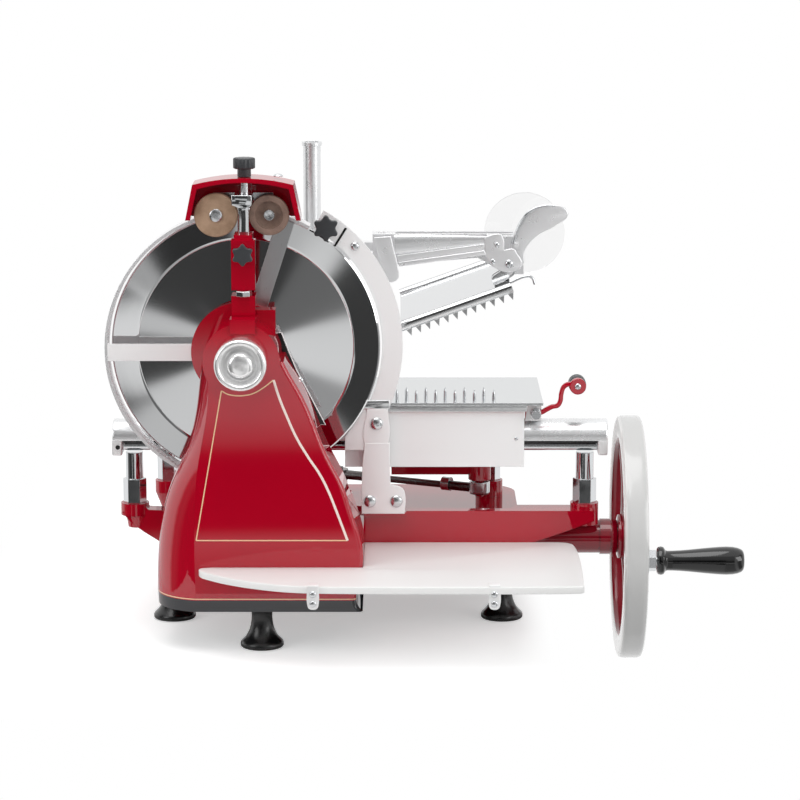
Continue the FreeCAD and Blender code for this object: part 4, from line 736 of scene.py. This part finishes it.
# A dark grey steel, nearly black, with a clear edge of light.
dress("connecting_rod", buffed("dark grey rod steel", "6E6A69", 0.22, 0.0006))
eye = turned(
    "rod_eye", [(9, 0), (11.4, 0), (12, 0.8), (12, 12.6), (11.4, 13.4), (9, 13.4)],
    (245, 177, 136), "Z", 48, closed=True,
)
settle(eye, "connecting_rod", zinc)
nut = ribbon("rod_lock_nut", [(212, 193.2, 142.5), (203, 197.6, 142.5)], 8.2, soft=False)
settle(nut, "connecting_rod", zinc)
screw = turned("skirt_screw", [(a * 0.6, b * 0.6) for a, b in DOME], (283.9, 91, 216.3), "-Y", 24)
settle(screw, "carriage", zinc)

# ---------------------------------------------------------------- meat table and its feed
# A stainless table plate with a row of turned spikes that hold the joint. A screw moves it, turned by
# a red cranked lever with a ratchet and a nylon knob.

# Brushed along its length: a pale, even grey.
dress("meat_table", brushed("brushed stainless table", "D8DADB", 0.24, "X", 0.0006))
SPIKES = 11
SPIKE = [(1.9, 0), (1.9, 9.6), (1.3, 12), (0.2, 14)]
SPIKE_STEP = (10.9, 15)
for k in range(SPIKES):
    spot = (149.5 + SPIKE_STEP[0] * k, 95 + SPIKE_STEP[1] * (k % 2), 258)
    pin = turned(f"table_spike_{k + 1}", SPIKE, spot, "Z", 20)
    settle(pin, "table", zinc)
    if k == 0:
        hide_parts("table_spikes")
dress("feed_screw", zinc)


def lane(points, half):
    """The outline of a bar of even width along a line of points in mm."""
    sides = [[], []]
    for k, (a, b) in enumerate(points):
        before, after = points[max(k - 1, 0)], points[min(k + 1, len(points) - 1)]
        run = Vector((after[0] - before[0], after[1] - before[1])).normalized() * half
        sides[0].append((a - run.y, b + run.x, 0 < k < len(points) - 1))
        sides[1].append((a + run.y, b - run.x, 0 < k < len(points) - 1))
    return sides[0] + sides[1][::-1]


FEED = [
    (306, 245), (312, 246), (318.6, 249.6), (324, 252.4), (330.4, 254), (333.4, 259), (334.6, 268),
    (337.6, 275.6), (344, 278.4), (352, 276),
]
lever = plate("feed_lever_arm", lane(FEED, 2.6), 5, (0, 92, 0), "XZ", 1, 6)
settle(lever, "feed_lever", red_enamel)
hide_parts("feed_lever")
hub = turned(
    "feed_lever_hub", [(5, 0), (5.8, 0.2), (6.1, 0.8), (6.1, 11), (5.8, 11.6), (5, 11.8)],
    (FEED[0][0], 90.5, FEED[0][1]), "Y", 40, closed=True,
)
settle(hub, "feed_lever", zinc)
KNOB = (353, 276)
boss = turned(
    "feed_lever_boss", [(8.4, 0), (9.3, 0.8), (9.3, 5.4), (8.6, 6)], (KNOB[0], 91, KNOB[1]), "Y", 48
)
settle(boss, "feed_lever", red_enamel)
screw = turned("feed_knob_screw", DOME, (KNOB[0], 91.2, KNOB[1]), "-Y", 32)
settle(screw, "feed_knob", zinc)
# Moulded in a finely etched tool: a dark grey that stays matt.
moulded = plain(
    "moulded dark nylon", 0.0667, 3.0, 0.00008, 0.0006, Base_Color="36383B", Roughness=0.36
)
knob = turned(
    "feed_grip",
    [
        (6, 0), (8.8, 0.4), (9.8, 2), (9.8, 5.2), (9, 6), (9, 7), (9.9, 7.8), (9.9, 13.4), (9.1, 14.2),
        (9.1, 15.2), (9.9, 16), (9.7, 19.6), (8.4, 21.2), (4, 21.6), (0.4, 21.7),
    ],
    (KNOB[0], 97.4, KNOB[1]), "Y", 48,
)
settle(knob, "feed_knob", moulded)
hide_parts("feed_knob")

# ---------------------------------------------------------------- meat press
# A ground post on the table carries a sliding collar and a channelled arm, both of cast aluminium. The
# arm ends in a toothed press plate, its spoon-shaped lever and a clear disc that guards the hand.

# Ground lengthwise: a pale bar with soft edges of shade.
dress("press_post", buffed("ground steel post", "E6E7E8", 0.28, 0.0008, 0.8))
# Sand cast and polished: nearly white where it faces up, and a soft grey where it faces front.
aluminium = buffed("polished aluminium casting", "EFEFF0", 0.28, 0.001, 0.55, depth=0.000006)
for node in ("press_collar", "press_arm"):
    dress(node, aluminium)
dress("press_plate", guard_metal)
SPOON = [
    (279.2, 431), (283, 445), (288.4, 457), (299.2, 470), (314.8, 476), (330.5, 475.6), (340.6, 470.8),
    (342.6, 464), (330.5, 453), (307, 439.4), (294.4, 424), (291.4, 407), (288, 407), (284.6, 419),
    (279.4, 424.4),
]
lever = plate("spoon_lever", [(a, b, True) for a, b in SPOON], 5, (0, 138, 0), "XZ", 1.6)
settle(lever, "press_lever", aluminium)
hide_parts("press_lever")
SPOON_EDGE = [(280.6, 431), (284.6, 444.6), (290, 456.4), (300.2, 468.6), (315, 474.4), (328, 474.2)]
swell = [1.3, 1.3, 1.2, 1, 0.8, 0.5]
rim = ribbon("spoon_rim", [(x, 138.4, z) for x, z in SPOON_EDGE], 1.6, swell=swell)
settle(rim, "press_lever", chrome)
# The arm's overlays, as (outline, thickness, Y of the front).
ARM = {
    "arm_head": (
        [
            (123.7, 440.7, False), (142.9, 442.2, False), (151.6, 396, True), (149, 392, True),
            (139, 390.9, True), (132.1, 407.2, False),
        ],
        4, 121,
    ),
    "arm_channel": (
        [(150, 420.4, False), (248, 433.6, False), (248, 427, False), (151, 413.4, False)],
        2.6, 122.4,
    ),
    "arm_flange": (
        [(151, 412.8, False), (248, 426.4, False), (250, 421.2, False), (152.2, 407.8, False)],
        4, 121,
    ),
    "arm_shoe": (
        [
            (247.8, 441.5, False), (266, 444.4, True), (268.8, 441, True), (270.2, 426.6, False),
            (281, 427.6, True), (284, 424, True), (290.4, 408.4, True), (287, 405, True),
            (271.2, 401.4, True), (252, 416, True),
        ],
        3.6, 121.4,
    ),
}
for name, (outline, thick, front) in ARM.items():
    settle(plate(name, outline, thick, (0, front, 0), "XZ", 1), "press_arm", aluminium)
# The rounded web along the arm's top is buffed as bright as the rail's shield.
WEB_Y = 124.8
WEB = [(147, WEB_Y, 432.4), (176, WEB_Y, 434), (211, WEB_Y, 435.8), (250, WEB_Y, 437.6)]
web = ribbon("arm_web", WEB, 11.6, swell=[0.96, 0.86, 0.62, 0.36], sides=8)
settle(flattened(web, 1, WEB_Y, 0.3), "press_arm", polished_tube)
ARM_SCREWS = ((257.6, 413.6, 0.8), (275.8, 411, 1.3), (262, 432.6, 0.8))
for number, (x, z, size) in enumerate(ARM_SCREWS, start=1):
    rings = [(a * size, b * size) for a, b in DOME]
    settle(turned(f"arm_screw_{number}", rings, (x, 121.4, z), "-Y", 32), "press_arm", chrome)
hook = ribbon("plate_hook", [(276, 99, 393), (296.4, 99, 400), (300.6, 99, 398.6), (304, 99, 391)], 1.6)
settle(hook, "press_plate", zinc)
# Cast sheet: almost invisible, but for its rim and a faint veil.
acrylic = plain(
    "clear acrylic", 6.667, 1.0, 0.00002, 0.0004, Base_Color="FAFAFA", Roughness=0.03, IOR=1.49,
    Transmission_Weight=0.98,
)
dress("hand_guard_disc", acrylic)

# ---------------------------------------------------------------- sharpener
# Two bonded stones turn on plated pins under a red cast hood. Their carrier hangs on a slide that a
# star knob clamps above the tower, and the fluted knob on top sets it down on the knife.
for node in ("sharpener_bracket", "sharpener_slide", "sharpener_hood"):
    dress(node, red_enamel)
dress("stone_carrier", zinc)
dome = turned("hood_screw", [(a * 1.5, b * 1.6) for a, b in DOME], (19.9, 40, 518.8), "Z", 40)
settle(dome, "sharpener", chrome)
bolt = turned("slide_bolt", [(7.6, 0), (8.4, 0.8), (8.4, 5.6), (7.6, 6.4)], (-17, -11, 393.8), "Z", 6)
settle(bolt, "frame", chrome, 20)
tee = plate(
    "stone_tee",
    [
        (-30, 501.6, False), (-8, 501.6, False), (-8, 491, False), (-11.2, 487, True), (-11.4, 482, True),
        (-11.4, 457, False), (-22.2, 457, False), (-22.2, 482, True), (-24, 488, True), (-30, 491, False),
    ],
    3.6, (0, 8.2, 0), "XZ", 0.8,
)
settle(tee, "sharpener", chrome)


def abrasive(name, light, dark):
    """Bonded abrasive: grit of two tones and a dry rough face. The grit is drawn 0.6 mm coarse, so that
    it shows."""
    made, shader = surface(name, Roughness=0.9)
    spot = add(made, "TexCoord").outputs["Object"]
    grit = add(made, "TexNoise", None, {"Vector": spot, "Scale": cells(0.625), "Detail": 4.0})
    patch = add(made, "TexNoise", None, {"Vector": spot, "Scale": cells(16.67), "Detail": 2.0})
    both = add(made, "Math", {"operation": "ADD"}, {0: grit.outputs[0], 1: patch.outputs[0]})
    share = add(made, "MapRange", None, {"Value": both.outputs[0], "From Min": 0.75, "From Max": 1.25})
    tint = add(made, "Mix", {"data_type": "RGBA"}, {0: share.outputs[0], 6: dark, 7: light})
    made.node_tree.links.new(tint.outputs[2], shader.inputs["Base Color"])
    relief(made, shader, grit.outputs[0], 0.0003)
    return made


# Pressed and fired: the tan stone is coarse and pale, the brown one finer and darker. Both are dead matt.
tan_stone = abrasive("tan bonded grindstone", "BC9E84", "92785F")
brown_stone = abrasive("brown bonded honing stone", "9A8072", "6E5A50")
GRINDER = (-48, 27, 477.5)
HONER = (10, 27, 477.5)
wheel = turned(
    "grinding_wheel", [(3, 0), (23, 0), (24, 1), (24, 8), (23, 9), (3, 9)], GRINDER, "Y", closed=True
)
settle(wheel, "grinding_stone", tan_stone)
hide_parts("grinding_stone")
pin = turned(
    "grinding_pin",
    [(2, -2), (6, -2), (7, -1.4), (7, 0.5), (3.5, 0.6), (3.5, 10), (5, 10), (5, 18.6)],
    GRINDER, "Y", 48,
)
settle(pin, "grinding_stone", zinc)
cup = turned(
    "honing_cup",
    [(3, 6), (13, 6), (15, 5), (15.4, 0.4), (16, 0), (21.4, 0), (22, 0.7), (22, 8.4), (21.4, 9), (3, 9)],
    HONER, "Y", closed=True,
)
settle(cup, "honing_stone", brown_stone)
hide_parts("honing_stone")
pin = turned(
    "honing_pin",
    [(2.6, 1.2), (3, 1), (5.6, 1), (6, 1.6), (6, 6.4), (3.5, 6.5), (3.5, 10), (5, 10), (5, 18.6)],
    HONER, "Y", 48,
)
settle(pin, "honing_stone", zinc)


def star(name, outer, inner, spot, body, node):
    """A moulded star grip with six tips, 8 mm thick, that faces the operator."""
    outline = []
    for k in range(12):
        angle = pi * k / 6 + pi / 2
        reach = inner if k % 2 else outer
        outline.append((spot[0] + reach * cos(angle), spot[2] + reach * sin(angle), True))
    grip = plate(name, outline, 8, (0, spot[1], 0), "XZ", 1.4, 6)
    settle(grip, body, moulded)
    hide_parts(node)


star("clamp_star", 12, 9, (-17, -22.3, 440), "clamp_knob", "sharpener_star_knob")
stem = turned("clamp_stem", [(4, 0), (5, 0.5), (5, 6)], (-17, -14.3, 440), "Y", 32)
settle(stem, "clamp_knob", moulded)
star("guard_star", 14.5, 10.6, (71, 64.7, 458), "guard_knob", "guard_star_knob")
stem = turned("guard_stem", [(4, 0), (4, 7)], (71, 72.7, 458), "Y", 32)
settle(stem, "guard_knob", zinc)
TOP_KNOB = (-17, 34)
FLUTES = 12
flutes = []
for k in range(FLUTES * 4):
    angle = pi / 2 * k / FLUTES
    reach = 12 if k % 4 < 2 else 10.9
    flutes.append((TOP_KNOB[0] + reach * cos(angle), TOP_KNOB[1] + reach * sin(angle), False))
head = plate("hood_knob", flutes, 12, (0, 0, 528), "XY", 1.6, 2)
settle(head, "top_knob", moulded)
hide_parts("sharpener_top_knob")
neck = turned(
    "hood_knob_neck", [(4.2, 0), (4.2, 5.3), (7.4, 5.4), (7.5, 6), (7.5, 14.4)], (*TOP_KNOB, 514), "Z", 48
)
settle(neck, "top_knob", moulded)

# ---------------------------------------------------------------- camera
# A long lens, three metres in front of the machine and a little above it, so that nearness distorts
# nothing. It is tilted down by 10.5 degrees.
bpy.ops.object.camera_add(location=(0.153, -3.315, 0.892), rotation=(radians(79.5), 0, 0))
camera = bpy.context.object
camera.data.lens = 138.6
camera.data.sensor_width = 36
bpy.context.scene.camera = camera

# ---------------------------------------------------------------- floor and light
# A white table top on which the machine stands with its flywheel hanging past the end. It fades to the
# white paper behind it there, at the left and in front. Three soft boxes light it from above and aside.
FLOOR = (-0.36, 0.33, -0.3, 1.8)
# Where the table top starts to fade and where it is gone, along an axis.
FADES = (("X", 0.27, 0.325), ("X", -0.27, -0.35), ("Y", -0.18, -0.29))
bpy.ops.mesh.primitive_plane_add(size=1, location=(0, 0, 0))
floor = bpy.context.object
floor.name = "table_top"
middle = ((FLOOR[0] + FLOOR[1]) / 2, (FLOOR[2] + FLOOR[3]) / 2, -0.0005)
reach = (FLOOR[1] - FLOOR[0], FLOOR[3] - FLOOR[2], 1, 1)
floor.data.transform(Matrix.Translation(middle) @ Matrix.Diagonal(reach))
# Matt paint that glows a little, so that its shadows stay pale.
table_top = bpy.data.materials.new("white studio table top")
table_top.use_nodes = True
table_top.node_tree.nodes.clear()
paint = add(table_top, "BsdfDiffuse", None, {"Color": "F4F4F4"}).outputs[0]
glow = add(table_top, "Emission", None, {"Color": "FFFFFF", "Strength": 0.42}).outputs[0]
both = add(table_top, "AddShader", None, {0: paint, 1: glow}).outputs[0]
white = add(table_top, "Emission", None, {"Color": "FFFFFF", "Strength": 1.0}).outputs[0]
spot = add(table_top, "TexCoord").outputs["Object"]
place = add(table_top, "SeparateXYZ", None, {"Vector": spot})
SOFT = {"interpolation_type": "SMOOTHSTEP"}
fade = 0.0
for axis, near, far in FADES:
    limits = {"Value": place.outputs[axis], "From Min": near, "From Max": far}
    step = add(table_top, "MapRange", SOFT, limits).outputs[0]
    fade = add(table_top, "Math", {"operation": "MAXIMUM"}, {0: fade, 1: step}).outputs[0]
seen = add(table_top, "MixShader", None, {0: fade, 1: both, 2: white}).outputs[0]
eye = add(table_top, "LightPath").outputs["Is Camera Ray"]
last = add(table_top, "MixShader", None, {0: eye, 1: paint, 2: seen}).outputs[0]
add(table_top, "OutputMaterial", None, {"Surface": last})
floor.data.materials.append(table_top)

# Each lamp's place, what it aims at, its size and its power.
LAMPS = {
    "overhead_box": ((-0.1, -0.35, 1.9), (0.05, 0.05, 0.2), 1.5, 17.0),
    "left_box": ((-1.7, -1.3, 1.0), (0.05, 0.0, 0.2), 1.2, 11.0),
    "right_box": ((2.0, -1.2, 0.9), (0.2, 0.0, 0.2), 1.2, 14.0),
}
for name, (spot, aim, size, power) in LAMPS.items():
    bpy.ops.object.light_add(type="AREA", location=spot)
    lamp = bpy.context.object
    lamp.name = name
    lamp.data.size = size
    lamp.data.energy = power
    lamp.rotation_euler = (Vector(aim) - Vector(spot)).to_track_quat("-Z", "Y").to_euler()

# The room that only shining surfaces see: white paper behind and overhead, cards left and right, and in
# front four walls of pale and dark stripes. Each wall lists (elevation in degrees, brightness).
ROOM = {
    "middle": [
        (-30, 0.7), (-20, 0.6), (-14.2, 0.45), (-13.35, 0.36), (-13.25, 1.0), (-13.12, 1.0),
        (-13.04, 0.03), (-11.5, 0.02), (-11.42, 0.3), (-10.8, 0.8), (-9.7, 1.0), (-9.1, 0.05), (-6, 0.04),
        (-5, 0.6), (-2.2, 0.6), (-1.2, 0.05), (12, 0.04), (16, 0.35), (30, 0.5),
    ],
    "left": [
        (-30, 0.8), (-15, 0.75), (-14.4, 0.05), (-4.6, 0.04), (-3.8, 0.6), (-1.5, 0.65), (-0.8, 0.05),
        (30, 0.05),
    ],
    "far left": [
        (-30, 0.8), (-15, 0.75), (-14.4, 0.05), (-8.4, 0.04), (-7.6, 0.7), (-4.8, 0.7), (-4.2, 0.05),
        (30, 0.05),
    ],
    "right": [
        (-30, 0.5), (-15, 0.35), (-14.2, 0.85), (-6, 0.8), (-5, 0.16), (8, 0.16), (12, 0.4), (30, 0.5),
    ],
}
# The side cards, as (how far aside, brightness): a dark one on the left, and on the right a white, a
# grey and another white one.
SIDES = [
    (-0.97, 0.2), (-0.9, 0.05), (-0.46, 0.03), (-0.43, 0.8), (0.5, 0.95), (0.6, 0.3), (0.8, 0.3),
    (0.9, 1.0),
]
world = bpy.data.worlds.new("studio")
bpy.context.scene.world = world
world.use_nodes = True
world.node_tree.nodes.clear()
way = add(world, "SeparateXYZ", None, {"Vector": add(world, "TexCoord").outputs["Generated"]}).outputs
height = add(world, "Math", {"operation": "ADD"}, {0: way["Z"], 1: 0.5}).outputs[0]
aside = add(world, "MapRange", None, {"Value": way["X"], "From Min": -1.0, "From Max": 1.0}).outputs[0]
off_middle = add(world, "Math", {"operation": "ABSOLUTE"}, {0: way["X"]}).outputs[0]


def greys(socket, stops):
    """The greys along a value from nought to one, from a list of (place, brightness)."""
    ramp = add(world, "ValToRGB", None, {"Fac": socket})
    marks = ramp.color_ramp.elements
    while len(marks) < len(stops):
        marks.new(0.5)
    for mark, (place, bright) in zip(marks, stops):
        mark.position = place
        mark.color = (bright, bright, bright, 1)
    return ramp.outputs["Color"]


def patch(*edges):
    """A soft-edged patch of the room: the product of soft steps, each (value, from, to)."""
    share = 1.0
    for value, near, far in edges:
        limits = {"Value": value, "From Min": near, "From Max": far}
        step = add(world, "MapRange", SOFT, limits).outputs[0]
        share = add(world, "Math", {"operation": "MULTIPLY"}, {0: share, 1: step}).outputs[0]
    return share


walls = {}
for name, stripes in ROOM.items():
    walls[name] = greys(height, [(0.5 + sin(radians(angle)), bright) for angle, bright in stripes])
cards = greys(aside, [((place + 1) / 2, bright) for place, bright in SIDES])
# The upper left of the knife's bevel shows a dark card low in the middle.
low_card = patch(
    (way["X"], -0.045, -0.03), (way["Z"], -0.365, -0.355), (way["Z"], -0.25, -0.26), (way["X"], 0.08, 0.07)
)
room = walls["middle"]
for share, colour in (
    (patch((way["X"], -0.1, -0.14)), walls["left"]),
    (patch((way["X"], -0.2, -0.22)), walls["far left"]),
    (patch((way["X"], 0.07, 0.08)), walls["right"]),
    (low_card, "303030"),
    (patch((off_middle, 0.36, 0.42)), cards),
):
    room = add(world, "Mix", {"data_type": "RGBA"}, {0: share, 6: room, 7: colour}).outputs[2]
for paper in (patch((way["Y"], -0.1, 0.15)), patch((way["Z"], 0.55, 0.8))):
    room = add(world, "Math", {"operation": "MAXIMUM"}, {0: room, 1: paper}).outputs[0]
path = add(world, "LightPath").outputs
looks = {0: path["Is Camera Ray"], 1: path["Is Transmission Ray"]}
straight = add(world, "Math", {"operation": "MAXIMUM"}, looks).outputs[0]
soft, mirror, paper = (
    add(world, "Background", None, {"Color": "FFFFFF", "Strength": strength}).outputs[0]
    for strength in (0.5, room, 1.0)
)
pick = add(world, "MixShader", None, {0: path["Is Glossy Ray"], 1: soft, 2: mirror}).outputs[0]
pick = add(world, "MixShader", None, {0: straight, 1: pick, 2: paper}).outputs[0]
add(world, "OutputWorld", None, {"Surface": pick})

bpy.context.scene.view_settings.view_transform = "Standard"
